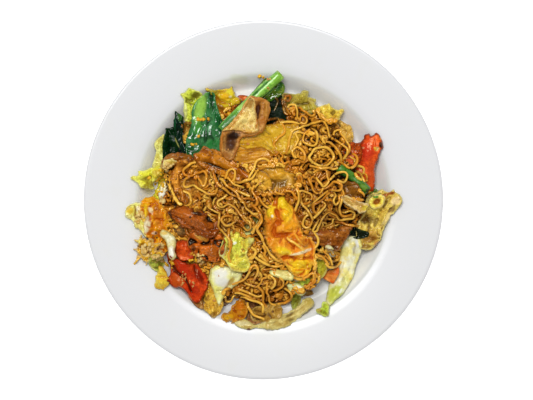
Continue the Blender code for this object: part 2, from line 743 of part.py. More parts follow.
def add_noodles(maps):
    core = core_body(maps)
    tree = BVHTree.FromBMesh(core)
    core_maps = HeightMaps(lambda x, y: plate_top(math.hypot(x, y)))
    core_maps.lay(tree, (-HEAP_RADIUS * 1.1,) * 2, (HEAP_RADIUS * 1.1,) * 2, topping=False)
    layer = StrandLayer(maps, core_maps.top)
    noodles = add_bmesh("noodles", core, "noodle")
    strands = bpy.data.collections.new("strands")
    bpy.context.scene.collection.children.link(strands)
    for _ in range(NOODLE_COUNT):
        add_strand(layer.raised(layer.next_path()), strands)
    union = noodles.modifiers.new("strands", "BOOLEAN")
    union.operation = "UNION"
    union.operand_type = "COLLECTION"
    union.collection = strands
    union.solver = "EXACT"
    union.use_self = True
    graph = bpy.context.evaluated_depsgraph_get()
    bm = bmesh.new()
    bm.from_object(noodles, graph)
    noodles.modifiers.clear()
    for strand in list(strands.objects):
        bpy.data.objects.remove(strand)
    bpy.data.collections.remove(strands)
    largest_body(bm)
    bm.to_mesh(noodles.data)
    bm.free()


def main():
    clear_scene()
    maps = HeightMaps(heap_under_toppings)
    lay_piece("plate", plate_body(), "porcelain", maps, topping=False)
    for seed, piece in enumerate(PIECES):
        if isinstance(piece, Slice):
            solid = slice_body(piece, maps, seed)
        elif isinstance(piece, Roll):
            solid = roll_body(piece, maps)
        else:
            solid = stalk_body(piece, maps)
        lay_piece(piece.name, solid, piece.material, maps)
    add_noodles(maps)


main()
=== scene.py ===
import math
import random

import bpy
import numpy as np
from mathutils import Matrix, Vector
from mathutils.bvhtree import BVHTree


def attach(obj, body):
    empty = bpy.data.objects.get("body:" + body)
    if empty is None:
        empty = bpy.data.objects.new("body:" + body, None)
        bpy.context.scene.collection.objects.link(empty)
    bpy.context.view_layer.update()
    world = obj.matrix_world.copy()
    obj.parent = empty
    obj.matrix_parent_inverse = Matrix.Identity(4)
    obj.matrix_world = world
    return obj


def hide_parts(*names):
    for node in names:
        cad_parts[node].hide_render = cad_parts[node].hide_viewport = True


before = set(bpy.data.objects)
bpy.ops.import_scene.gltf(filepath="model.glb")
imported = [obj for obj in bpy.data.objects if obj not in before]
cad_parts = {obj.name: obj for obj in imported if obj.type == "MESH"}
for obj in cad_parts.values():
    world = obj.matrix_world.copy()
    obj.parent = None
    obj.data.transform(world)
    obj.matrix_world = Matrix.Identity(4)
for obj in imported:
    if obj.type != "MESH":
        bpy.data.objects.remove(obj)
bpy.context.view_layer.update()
mm = 0.001
bpy.context.scene.view_settings.view_transform = "Standard"


# shading: a socket wrapped so that masks and tones read as plain maths


class Tone:
    def __init__(self, paint, socket):
        self.paint = paint
        self.socket = socket

    def maths(self, operation, *values):
        inputs = {index: value for index, value in enumerate((self, *values))}
        return self.paint.node("ShaderNodeMath", {"operation": operation}, inputs)

    def __add__(self, other):
        return self.maths("ADD", other)

    __radd__ = __add__

    def __sub__(self, other):
        return self.maths("SUBTRACT", other)

    def __rsub__(self, other):
        return self.paint.node("ShaderNodeMath", {"operation": "SUBTRACT"}, {0: other, 1: self})

    def __mul__(self, other):
        return self.maths("MULTIPLY", other)

    __rmul__ = __mul__

    def rise(self, low, high):
        # 0 below low, 1 above high, smooth between
        inputs = {"Value": self, "From Min": low, "From Max": high}
        return self.paint.node("ShaderNodeMapRange", {"interpolation_type": "SMOOTHSTEP"}, inputs)


class Paint:
    # one material: its tree, its Principled shader and the nodes that feed it
    def __init__(self, name, **constants):
        self.material = bpy.data.materials.new(name)
        self.material.use_nodes = True
        self.tree = self.material.node_tree
        self.shader = self.tree.nodes["Principled BSDF"]
        for socket, value in constants.items():
            self.shader.inputs[socket.replace("_", " ")].default_value = value
        self.place = self.node("ShaderNodeTexCoord", output="Object")
        self.ragged = None

    def node(self, kind, settings=None, inputs=None, output=0):
        made = self.tree.nodes.new(kind)
        for setting, value in (settings or {}).items():
            setattr(made, setting, value)
        for socket, value in (inputs or {}).items():
            self.feed(made.inputs[socket], value)
        return Tone(self, made.outputs[output])

    def feed(self, socket, value):
        if isinstance(value, Tone):
            self.tree.links.new(value.socket, socket)
        elif isinstance(value, tuple) and len(value) == 3 and socket.type == "RGBA":
            socket.default_value = (*value, 1)
        else:
            socket.default_value = value

    def noise(self, size, detail=2, roughness=0.5):
        inputs = {"Vector": self.place, "Scale": 1 / size, "Detail": detail, "Roughness": roughness}
        return self.node("ShaderNodeTexNoise", {}, inputs)

    def dab(self, x, y, wide, high, turned):
        # 1 within a ragged oval about a point, 0 outside it, in millimetres
        self.ragged = self.ragged or self.noise(2.4 * mm, 2) * 0.6
        inputs = {"Vector": self.place, "Location": (x * mm, y * mm, 0), "Scale": (wide * mm, high * mm, 1)}
        inputs["Rotation"] = (0, 0, math.radians(turned))
        local = self.node("ShaderNodeMapping", {"vector_type": "TEXTURE"}, inputs)
        away = self.node("ShaderNodeVectorMath", {"operation": "LENGTH"}, {0: local}, output="Value")
        return 1 - (away + self.ragged).rise(0.8, 1.4)

    def attribute(self, name):
        return self.node("ShaderNodeAttribute", {"attribute_name": name}, output="Fac")

    def axes(self, name):
        vector = self.node("ShaderNodeAttribute", {"attribute_name": name}, output="Vector")
        return [self.node("ShaderNodeSeparateXYZ", {}, {0: vector}, output=axis) for axis in "XYZ"]

    def mix(self, share, low, high):
        settings = {"data_type": "RGBA", "clamp_factor": True}
        return self.node("ShaderNodeMix", settings, {0: share, 6: low, 7: high}, output=2)

    def finish(self, colour, roughness=None, bump=None, bumpHeight=0.3 * mm):
        self.feed(self.shader.inputs["Base Color"], colour)
        if roughness is not None:
            self.feed(self.shader.inputs["Roughness"], roughness)
        if bump is not None:
            inputs = {"Height": bump, "Distance": bumpHeight, "Strength": 1.0}
            self.feed(self.shader.inputs["Normal"], self.node("ShaderNodeBump", {}, inputs))
        return self.material


def srgb(*screen):
    # a colour as read from a screen, 0 to 255, made linear
    return tuple(((c / 255 + 0.055) / 1.055) ** 2.4 if c > 10 else c / 255 / 12.92 for c in screen)


# modelling helpers


def deselectAll():
    bpy.ops.object.select_all(action="DESELECT")


def setMode(mode):
    bpy.ops.object.mode_set(mode=mode)


def pointsOf(obj):
    points = np.empty(len(obj.data.vertices) * 3, np.float32)
    obj.data.vertices.foreach_get("co", points)
    return points.reshape(-1, 3).astype(float)


def setPoints(obj, points):
    obj.data.vertices.foreach_set("co", points.astype(np.float32).ravel())
    obj.data.update()


def meshPiece(name, vertices, faces):
    mesh = bpy.data.meshes.new(name)
    mesh.from_pydata(vertices, [], faces)
    piece = bpy.data.objects.new(name, mesh)
    bpy.context.scene.collection.objects.link(piece)
    return piece


def addAttribute(piece, name, values):
    kind, field = ("FLOAT", "value") if values.ndim == 1 else ("FLOAT_VECTOR", "vector")
    attribute = piece.data.attributes.new(name, kind, "POINT")
    attribute.data.foreach_set(field, values.astype(np.float32).ravel())


def finishPiece(piece, material, slot, *nodes):
    piece.data.materials.clear()
    piece.data.materials.append(material)
    piece.data.polygons.foreach_set("use_smooth", [True] * len(piece.data.polygons))
    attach(piece, "root")
    if nodes:
        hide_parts(*nodes)
    return piece


# stage: a camera straight above, a white floor and soft light from the far side

view = {"lens": 85, "sensor": 36, "height": 0.966, "right": 2.3 * mm, "up": -0.2 * mm}
cameraData = bpy.data.cameras.new("camera")
cameraData.lens = view["lens"]
cameraData.sensor_width = view["sensor"]
camera = bpy.data.objects.new("camera", cameraData)
camera.location = (view["right"], view["up"], view["height"])
bpy.context.scene.collection.objects.link(camera)
bpy.context.scene.camera = camera

studio = {
    "world": 0.46, "lamp": 6.6, "lampSize": 0.4, "lampPlace": (-0.09, 0.3, 1.0),
    "floorSize": 4, "floorHeight": -0.3 * mm, "floorGlow": 0.7,
}
world = bpy.data.worlds.new("studio")
world.use_nodes = True
world.node_tree.nodes["Background"].inputs["Color"].default_value = (1.0, 1.0, 1.0, 1)
world.node_tree.nodes["Background"].inputs["Strength"].default_value = studio["world"]
world.cycles_visibility.glossy = False  # only the lamp gives highlights
bpy.context.scene.world = world
lampData = bpy.data.lights.new("softbox", "AREA")
lampData.energy = studio["lamp"]
lampData.size = studio["lampSize"]
lamp = bpy.data.objects.new("softbox", lampData)
lamp.location = studio["lampPlace"]
lamp.rotation_euler = (-lamp.location).to_track_quat("-Z", "Y").to_euler()
bpy.context.scene.collection.objects.link(lamp)

deselectAll()
bpy.ops.mesh.primitive_plane_add(size=studio["floorSize"], location=(0, 0, studio["floorHeight"]))
floor = bpy.context.object
floor.name = "floor"
floorPaint = Paint("floorWhite", Roughness=0.9, Emission_Strength=studio["floorGlow"])
floorPaint.shader.inputs["Emission Color"].default_value = (1, 1, 1, 1)
floorPaint.shader.inputs["Specular IOR Level"].default_value = 0
floorPaint.finish((0.95, 0.95, 0.95))
floor.data.materials.append(floorPaint.material)
print("stage is ready")


# plate: half a section spun round, as the CAD plate but finer

plate = {
    "radius": 135 * mm,
    "well": 84 * mm,
    "wellHeight": 6 * mm,
    "wallRun": 12 * mm,
    "wallRise": 11.5 * mm,
    "rimRise": 6 * mm,
    "thickness": 4.4 * mm,
    "lip": 3.2 * mm,
    "foot": 75 * mm,
    "footWidth": 5 * mm,
    "footBevel": 0.8 * mm,
    "footFlare": 1.3 * mm,
    "segments": 192,
    "colour": srgb(228, 229, 231),
    # painted light: the well and its wall are painted whiter than the rim
    "paintedLightWellColour": srgb(255, 255, 253),
    # painted shade: the thin line where the wall meets the rim
    "paintedShadeLineColour": srgb(206, 210, 196),
}


def plateTop(radius):
    wall = min(max((radius - plate["well"]) / plate["wallRun"], 0.0), 1.0)
    rimStart = plate["well"] + 0.6 * plate["wallRun"]
    rim = max(0.0, radius - rimStart) / (plate["radius"] - rimStart)
    return plate["wellHeight"] + plate["wallRise"] * wall * wall * (3 - 2 * wall) + plate["rimRise"] * rim


def plateSection():
    lip = plate["lip"] / 2
    wall = [plate["well"] + plate["wallRun"] * step / 12 for step in range(13)]
    rim = [wall[-1] + (plate["radius"] - lip - wall[-1]) * step / 6 for step in (1, 2, 3, 4, 5, 5.85, 6)]
    middle = [share * plate["well"] for share in (0, 0.4, 0.8)]
    top = [(radius, plateTop(radius)) for radius in middle + wall + rim]
    lipHeight = top[-1][1] - lip
    edge = []
    for step in range(1, 8):
        angle = math.pi / 2 - math.pi * step / 8
        edge.append((plate["radius"] + lip * (math.cos(angle) - 1), lipHeight + lip * math.sin(angle)))
    back = []
    for radius in (plate["radius"] - 3 * plate["lip"], *reversed(wall[1:])):
        share = min(max((radius - plate["well"]) / (plate["radius"] - plate["well"]), 0.0), 1.0)
        share = share * share * (3 - 2 * share)
        thickness = plate["thickness"] + share * (plate["lip"] - plate["thickness"])
        back.append((radius + 0.35 * thickness, plateTop(radius) - thickness))
    outer, inner = plate["foot"] + plate["footWidth"] / 2, plate["foot"] - plate["footWidth"] / 2
    base, bevel, flare = plate["wellHeight"] - plate["thickness"], plate["footBevel"], plate["footFlare"]
    foot = [(outer + flare, base), (outer, bevel), (outer - bevel, 0)]
    foot += [(inner + bevel, 0), (inner, bevel), (inner - flare, base), (0, base)]
    return top + edge + back + foot


def makePlate():
    section = [(radius, 0, height) for radius, height in plateSection()]
    piece = meshPiece("plateGlazed", section, [])
    piece.data.edges.add(len(section) - 1)
    piece.data.edges.foreach_set("vertices", [end for i in range(len(section) - 1) for end in (i, i + 1)])
    deselectAll()
    piece.select_set(True)
    bpy.context.view_layer.objects.active = piece
    setMode("EDIT")
    bpy.ops.mesh.select_all(action="SELECT")
    bpy.ops.mesh.spin(steps=plate["segments"], angle=math.tau, center=(0, 0, 0), axis=(0, 0, 1))
    bpy.ops.mesh.select_all(action="SELECT")
    bpy.ops.mesh.remove_doubles(threshold=0.01 * mm)
    bpy.ops.mesh.normals_make_consistent(inside=False)
    setMode("OBJECT")
    return finishPiece(piece, porcelainPaint(), "porcelain", "plate")


def porcelainPaint():
    paint = Paint("porcelainGlaze", IOR=1.5)
    cloud = paint.noise(30 * mm, 3).rise(0.56, 0.75) * 0.35
    away = paint.node("ShaderNodeVectorMath", {"operation": "LENGTH"}, {0: paint.place}, output="Value")
    # painted shade: a thin grey line between 94 and 99.5 mm out, where the wall meets the rim
    line = away.rise(94 * mm, 97 * mm) * (1 - away.rise(97 * mm, 99.5 * mm))
    # painted light: the well and its wall are painted whiter than the rim, blending into it between 91 and
    # 98 mm out
    colour = paint.mix(away.rise(91 * mm, 98 * mm), plate["paintedLightWellColour"], plate["colour"])
    colour = paint.mix(line * 0.35, colour, plate["paintedShadeLineColour"])
    colour = paint.mix(cloud, colour, srgb(221, 222, 217))
    colour = paint.mix(paint.dab(-18, 91, 9, 4, -10) * 0.4, colour, srgb(206, 210, 170))  # a smear of oil
    return paint.finish(colour, 0.22 + cloud * 0.15)


makePlate()
print("plate is glazed")


# heap map: the height of what lies on the plate, on a grid seen from above

heapMap = {
    "reach": 106 * mm, "cell": 0.5 * mm,
    "pile": 6 * mm,  # how high the noodles may pile up
    # how far in from its edge each kind of piece limits the noodles on it, and how high they may still pile
    "lies": {"high": (3, 0), "low": (2.2, 0), "open": (1, 1.7 * mm), "bare": (2, 0)},
}


def around(grid):
    return [np.roll(grid, step, axis) for axis in (0, 1) for step in (1, -1)]


def spread(grid, steps, pick=np.fmax):
    for _ in range(steps):
        for near in around(grid):
            grid = pick(grid, near)
    return grid


def blurred(grid, steps):
    for _ in range(steps):
        grid = 0.5 * grid + 0.125 * sum(around(grid))
    return grid


def filledOut(grid):
    # known heights grow level into the empty cells beside them
    while np.isnan(grid).any():
        known = ~np.isnan(grid)
        total = sum(around(np.where(known, grid, 0.0)))
        count = sum(around(known.astype(float)))
        grid = np.where(known | (count == 0), grid, total / np.maximum(count, 1))
    return grid


def castObject(obj, points, upwards=False):
    # height at which a vertical ray meets an object, nan where it misses
    tree = BVHTree.FromObject(obj, bpy.context.evaluated_depsgraph_get())
    start, way = (-1.0, Vector((0, 0, 1))) if upwards else (1.0, Vector((0, 0, -1)))
    heights = np.full(len(points), np.nan)
    for index, (x, y) in enumerate(points.tolist()):
        hit = tree.ray_cast(Vector((x, y, start)), way)[0]
        if hit is not None:
            heights[index] = hit.z
    return heights


class Heap:
    def __init__(self, reach, cell):
        self.reach = reach
        self.cell = cell
        self.ticks = np.arange(-reach, reach + cell / 2, cell)
        self.x, self.y = np.meshgrid(self.ticks, self.ticks, indexing="ij")
        self.plate = np.vectorize(plateTop)(np.hypot(self.x, self.y))
        self.noodleTop = castObject(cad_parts["noodles"], self.points()).reshape(self.plate.shape)
        self.core = spread(self.noodleTop, 4, np.fmin)
        self.height = np.fmax(self.plate, self.core)  # everything laid so far
        self.lowTop = self.plate.copy()  # tops of what noodles may lie on
        self.highTop = self.plate.copy()  # tops of what only loose strands cross
        self.ceiling = np.full(self.plate.shape, np.inf)  # undersides that noodles stay below
        self.room = np.where(np.isnan(self.noodleTop), 0, heapMap["pile"])

    def cells(self, xy):
        place = np.rint((np.asarray(xy) + self.reach) / self.cell).astype(int)
        return np.clip(place, 0, len(self.ticks) - 1)

    def points(self, part=slice(None)):
        return np.column_stack((self.x[part].ravel(), self.y[part].ravel()))

    def window(self, low, high):
        # the part of the grid between two corners, as slices, and its points
        (i, j), (k, m) = self.cells(low), self.cells(high) + 1
        part = (slice(i, k), slice(j, m))
        return part, self.points(part)

    def read(self, xy, grid):
        place = np.clip((xy + self.reach) / self.cell, 0, len(self.ticks) - 1.001)
        cell = place.astype(int)
        i, j = cell.T
        u, v = (place - cell).T
        low = grid[i, j] * (1 - v) + grid[i, j + 1] * v
        high = grid[i + 1, j] * (1 - v) + grid[i + 1, j + 1] * v
        return low * (1 - u) + high * u

    def note(self, part, under, top, distance, lies, bare=()):
        # adds a piece to the map: noodles stay below a high one, and only loose strands cross it
        def change(grid, where, value, pick=np.minimum):
            grid[part] = np.where(where, pick(grid[part], value), grid[part])

        inside = distance > 0
        spot = self.points(part) / mm
        within = distance + (1.6 * roughness(spot, 5, 55)).reshape(distance.shape)
        change(self.height, inside, top, np.fmax)
        if lies == "high":
            change(self.ceiling, inside, under)
        change(self.highTop if lies == "high" else self.lowTop, inside, top, np.fmax)
        margin, room = heapMap["lies"][lies]
        change(self.room, within > margin, room)
        for x, y, wide, high in bare:
            apart = np.hypot((spot[:, 0] - x) / wide, (spot[:, 1] - y) / high).reshape(distance.shape)
            change(self.room, apart + 0.12 * (within - distance) < 1, 0)


# shape maths for flat slices, in millimetres


def smoothStep(values):
    share = np.clip(values, 0, 1)
    return share * share * (3 - 2 * share)


def roughness(xy, size, seed):
    # smooth random relief between -1 and 1 with bumps of one size
    table = np.random.default_rng(seed).uniform(-1, 1, (61, 67))
    place = xy / size + 500.5
    cell = np.floor(place).astype(int)
    u, v = smoothStep(place - cell).T
    i, j = cell[:, 0] % 61, cell[:, 1] % 67
    k, m = (i + 1) % 61, (j + 1) % 67
    near, far = (table[i, n] * (1 - u) + table[k, n] * u for n in (j, m))
    return near * (1 - v) + far * v


def wobble(xy, size, seed, apart):
    # the same relief as a shift to the side in x and in y
    return np.column_stack((roughness(xy, size, seed), roughness(xy, size, seed + apart)))


def creased(xy, size, seed):
    # round swellings between sharp bent creases
    bend = wobble(xy, 1.3 * size, seed, 7)
    return 2.6 * np.abs(roughness(xy + 0.5 * size * bend, size, seed + 3)) - 0.8


def turned(xy, degrees):
    angle = math.radians(degrees)
    return xy @ np.array(((math.cos(angle), -math.sin(angle)), (math.sin(angle), math.cos(angle))))


def smoothLine(points, step, closed=False):
    # a smooth line through points, as pairs or as x, y, x, y
    points = np.array(points, float).reshape(-1, 2)
    last = len(points) if closed else len(points) - 1
    line = []
    for index in range(last):
        picks = [index - 1, index, index + 1, index + 2]
        picks = [k % len(points) if closed else min(max(k, 0), last) for k in picks]
        a, b, c, d = points[picks]
        count = max(2, round(float(np.hypot(*(c - b))) / step))
        t = (np.arange(count) / count)[:, None]
        line.append(b + 0.5 * t * (c - a + t * (2 * a - 5 * b + 4 * c - d + t * (3 * (b - c) + d - a))))
    if not closed:
        line.append(points[-1:])
    return np.concatenate(line)


def lineDistance(xy, starts, ends):
    # distance to a broken line, with the nearest point on it
    best = np.full(len(xy), np.inf)
    nearest = np.zeros_like(xy)
    for a, b in zip(starts, ends):
        way = b - a
        share = np.clip(((xy - a) @ way) / max(way @ way, 1e-12), 0, 1)
        foot = a + share[:, None] * way
        distance = np.hypot(*(xy - foot).T)
        closer = distance < best
        best[closer] = distance[closer]
        nearest[closer] = foot[closer]
    return best, nearest


def edgeDistance(xy, curve):
    # distance in from a closed outline, below 0 outside it, with the nearest point on the outline
    ends = np.roll(curve, -1, 0)
    best, nearest = lineDistance(xy, curve, ends)
    inside = np.zeros(len(xy), bool)
    for (ax, ay), (bx, by) in zip(curve, ends):
        if ay != by:
            crossing = ax + (xy[:, 1] - ay) * (bx - ax) / (by - ay)
            inside ^= ((ay > xy[:, 1]) != (by > xy[:, 1])) & (xy[:, 0] < crossing)
    return np.where(inside, best, -best), nearest


# toppings: flat slices cut to their outline, set over the CAD solid and shaped one by one

slab = {"cell": 0.6, "corner": 0.8, "margin": 8 * mm, "gap": 0.2, "plateGap": 0.3 * mm, "least": 0.35 * mm}
forms = {
    "leaf": dict(thick=1.1, edge=1.2, rim=0.5, grains=((9, 1.2, 1),), folds=(5, 0.7, 1.3), frill=1,
        ragged=0.35),
    "cabbage": dict(thick=1.7, edge=1.4, rim=0.45, grains=((7, 1.4, 1),), folds=(4.4, 1.1, 1), frill=1.6,
        ragged=0.5),
    "rib": dict(thick=3, edge=2.6, rim=0.3, grains=((9, 0.8, 3), (2.2, 0.15, 5)), folds=(5, 0.4, 3),
        frill=0.3, ragged=0.3),
    "pepper": dict(thick=2.4, edge=1.2, rim=0.6, grains=((11, 1.2, 1),), folds=(6, 0.4, 1.6), frill=0.8,
        ragged=0.45),
    "egg": dict(thick=3.4, edge=1.8, rim=0.3, grains=((7, 1.1, 1),), folds=(4.2, 1.3, 1.2), frill=0.6,
        ragged=0.8),
    "meat": dict(thick=2.6, edge=1.5, rim=0.45, grains=((8, 1.1, 2),), folds=(3.8, 0.9, 2), frill=0.7,
        ragged=0.6),
}


def shapeSlice(item, xy):
    # under side, top side, distance in from the edge and relief at each point, in metres and millimetres
    form, spot, seed = item["form"], xy / mm, item["seed"]
    distance, _ = edgeDistance(spot, item["curve"])
    inward = np.clip(distance / form["edge"], 0, 1)
    profile = form["rim"] + (1 - form["rim"]) * np.sqrt(1 - (1 - inward) ** 2)
    both = form["frill"] * (0.3 + 0.7 * (1 - smoothStep(distance / 5))) * roughness(spot, 5.5, seed + 1)
    for x, y, wide, high, turn, rise in item.get("swells", ()):
        local = turned(spot - (x, y), turn) / (wide, high)
        both = both + rise * np.clip(1 - (local**2).sum(1), 0, 1) ** 2
    relief = np.zeros(len(xy))
    along = turned(spot, item.get("grain", 0))
    for index, (size, height, stretch) in enumerate(form["grains"]):
        relief += height * roughness(along / (stretch, 1), size, seed + 2 + index)
    size, height, stretch = form["folds"]
    relief += height * creased(along / (stretch, 1), size, seed + 5)
    for x, y, wide, high, turn, rise in item.get("lumps", ()):
        local = turned(spot - (x, y), turn) / (wide, high)
        relief += rise * np.clip(1 - (local**2).sum(1), 0, 1) ** 1.5
    for width, depth, *line in item.get("creases", ()):
        line = np.array(line, float).reshape(-1, 2)
        away, _ = lineDistance(spot, line[:-1], line[1:])
        relief -= depth * np.exp(-((away / width) ** 2))
    relief *= smoothStep(distance / 1.5)
    thick = np.maximum(item["heap"].read(xy, item["thick"]) / mm, form["thick"])
    under = item["heap"].read(xy, item["base"]) + both * mm
    if form["thick"] < 2:  # a leaf's relief shows on both its sides
        under = under + 0.8 * relief * mm
        top = under + (thick * profile + 0.2 * relief) * mm
    else:
        top = under + (thick * profile + relief) * mm
    under = np.maximum(under, item["heap"].read(xy, item["heap"].plate) + slab["plateGap"])
    return under, np.maximum(top, under + slab["least"]), distance, relief


def setBase(item, heap):
    # under side and thickness from the CAD solid, drawn on beyond its edge, above what lies there already
    margin = slab["margin"]
    part, points = heap.window(item["curve"].min(0) * mm - margin, item["curve"].max(0) * mm + margin)
    shape = heap.x[part].shape
    distance, _ = edgeDistance(points / mm, item["curve"])
    support = np.where(distance.reshape(shape) < 0.5, np.nan, heap.height[part])
    support = blurred(filledOut(support), 8)
    thick = np.zeros(shape)
    if "node" in item and item.get("over") is None:
        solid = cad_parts[item["node"]]
        top, under = (castObject(solid, points, upwards).reshape(shape) for upwards in (False, True))
        missing = spread(np.isnan(under), 2, np.logical_or)
        missing = np.isnan(under) if missing.all() else missing
        under = blurred(filledOut(np.where(missing, np.nan, under)), 5)
        top = blurred(filledOut(np.where(missing, np.nan, top)), 5)
        support = np.maximum(support, under)
        thick = top - under
    if "sheet" in item:
        thick = np.full(shape, item["sheet"] * mm)
    item["base"] = np.zeros_like(heap.height)
    item["thick"] = np.zeros_like(heap.height)
    item["base"][part] = support + (slab["gap"] + item.get("over", 0)) * mm
    item["thick"][part] = thick


def cutGrid(name, low, high, cell, keep):
    # a flat grid with the faces deleted whose corners aren't all kept
    counts = np.maximum(np.ceil((high - low) / cell), 1).astype(int)
    deselectAll()
    bpy.ops.mesh.primitive_grid_add(x_subdivisions=counts[0], y_subdivisions=counts[1], size=1)
    piece = bpy.context.object
    piece.name = name
    points = pointsOf(piece)
    points[:, :2] = low + (points[:, :2] + 0.5) * counts * cell
    setPoints(piece, points)
    outside = ~keep(points[:, :2])
    corners = np.array([polygon.vertices[:] for polygon in piece.data.polygons])
    setMode("EDIT")
    bpy.ops.mesh.select_mode(type="FACE")
    bpy.ops.mesh.select_all(action="DESELECT")
    setMode("OBJECT")
    piece.data.polygons.foreach_set("select", outside[corners].any(1))
    setMode("EDIT")
    bpy.ops.mesh.delete(type="FACE")
    bpy.ops.mesh.select_mode(type="VERT")
    bpy.ops.mesh.select_all(action="DESELECT")
    bpy.ops.mesh.select_non_manifold()
    setMode("OBJECT")
    border = np.zeros(len(piece.data.vertices), bool)
    piece.data.vertices.foreach_get("select", border)
    return piece, border


def closeSlab(piece):
    # draws a flat sheet up to a closed slab and says which points are its top
    setMode("EDIT")
    bpy.ops.mesh.select_all(action="SELECT")
    bpy.ops.mesh.extrude_region_move(TRANSFORM_OT_translate={"value": (0, 0, 1 * mm)})
    setMode("OBJECT")
    above = np.zeros(len(piece.data.vertices), bool)
    piece.data.vertices.foreach_get("select", above)
    return above


def pieceLook(name, spec):
    # the finish of one piece, with its own colour and the shades that follow from it
    look = {**commonLook, **looks[name], **spec.get("finish", {})}
    look["main"] = main = spec.get("tint", look["main"])
    look["edge"] = spec.get("edge", look["edge"])
    for shade, scale in {**shades, **look.get("shades", {})}.items():
        look[shade] = tuple(min(255, round(part * share)) for part, share in zip(main, scale))
    return look


def makeSlice(heap, name, spec, seed):
    # one topping: its mesh, what it adds to the heap and its finish
    look = pieceLook(spec["look"], spec)
    item = dict(spec, heap=heap, seed=seed, form=dict(forms[look["form"]], **spec.get("form", {})))
    curve = smoothLine(spec["outline"], slab["corner"], closed=True)
    item["curve"] = curve = curve + item["form"]["ragged"] * wobble(curve, 1.9, seed, 9)
    setBase(item, heap)
    cell = spec.get("cell", slab["cell"]) * mm
    nearly = -0.5 * cell / mm
    low, high = curve.min(0) * mm - cell, curve.max(0) * mm + cell
    piece, border = cutGrid(name, low, high, cell, lambda xy: edgeDistance(xy / mm, curve)[0] > nearly)
    points = pointsOf(piece)
    points[border, :2] = edgeDistance(points[border, :2] / mm, curve)[1] * mm
    setPoints(piece, points)
    above = closeSlab(piece)
    points = pointsOf(piece)
    under, top, distance, relief = shapeSlice(item, points[:, :2])
    points[:, 2] = np.where(above, top, under)
    setPoints(piece, points)
    addAttribute(piece, "form", np.column_stack((distance, relief, above)))
    part, spots = heap.window(curve.min(0) * mm, curve.max(0) * mm)
    shape = heap.x[part].shape
    under, top, distance, _ = (values.reshape(shape) for values in shapeSlice(item, spots))
    heap.note(part, under, top, distance, spec.get("lies", "high"), spec.get("bare", ()))
    material = cookedPaint(name + "Cooked", look, spec.get("dabs", ()))
    return finishPiece(piece, material, look["slot"], *([spec["node"]] if "node" in spec else []))


def cookedPaint(name, look, dabs):
    # patches, grain, painted light on the raised crests, painted shade in the hollows and a browned rim,
    # then the dabs of colour of this one piece, some of them painted shade or painted highlights
    paint = Paint(name, **look["gloss"])
    distance, relief, _ = paint.axes("form")
    patches = paint.noise(look["patch"] * mm, 4, 0.62)
    fine = paint.noise(look["grain"] * mm, 4, 0.68)
    grit = paint.noise(1.1 * mm, 2, 0.6)
    soft = paint.noise(look["gleam"] * mm, 1)
    colour = paint.mix(patches.rise(0.4, 0.6), srgb(*look["main"]), srgb(*look["light"]))
    # painted light: the raised crests of the relief are painted lighter
    colour = paint.mix(relief.rise(0.3, 1.8) * 0.6, colour, srgb(*look["light"]))
    colour = paint.mix(fine.rise(0.48, 0.66) * look["mottle"], colour, srgb(*look["dark"]))
    edge = 1 - (distance + patches * 2).rise(1.2, 3)
    colour = paint.mix(edge * look["rim"], colour, srgb(*look["edge"]))
    # a dab is the piece's own colour, or on some pieces painted shade in a hollow or crease, or a painted
    # highlight
    for x, y, wide, high, turn, *tint, share in dabs:
        colour = paint.mix(paint.dab(x, y, wide, high, turn) * share, colour, srgb(*tint))
    # painted shade: the sunken hollows of the relief are painted darker, as strongly as sink says
    colour = paint.mix((0 - relief).rise(0.3, 1.6) * look["sink"], colour, srgb(*look["hollow"]))
    colour = paint.mix(grit.rise(0.52, 0.72) * look["grit"], colour, srgb(*look["hollow"]))
    wetness = look["rough"] + patches.rise(0.42, 0.62) * 0.16
    return paint.finish(colour, wetness, soft + fine * 0.2, look["bump"] * mm)
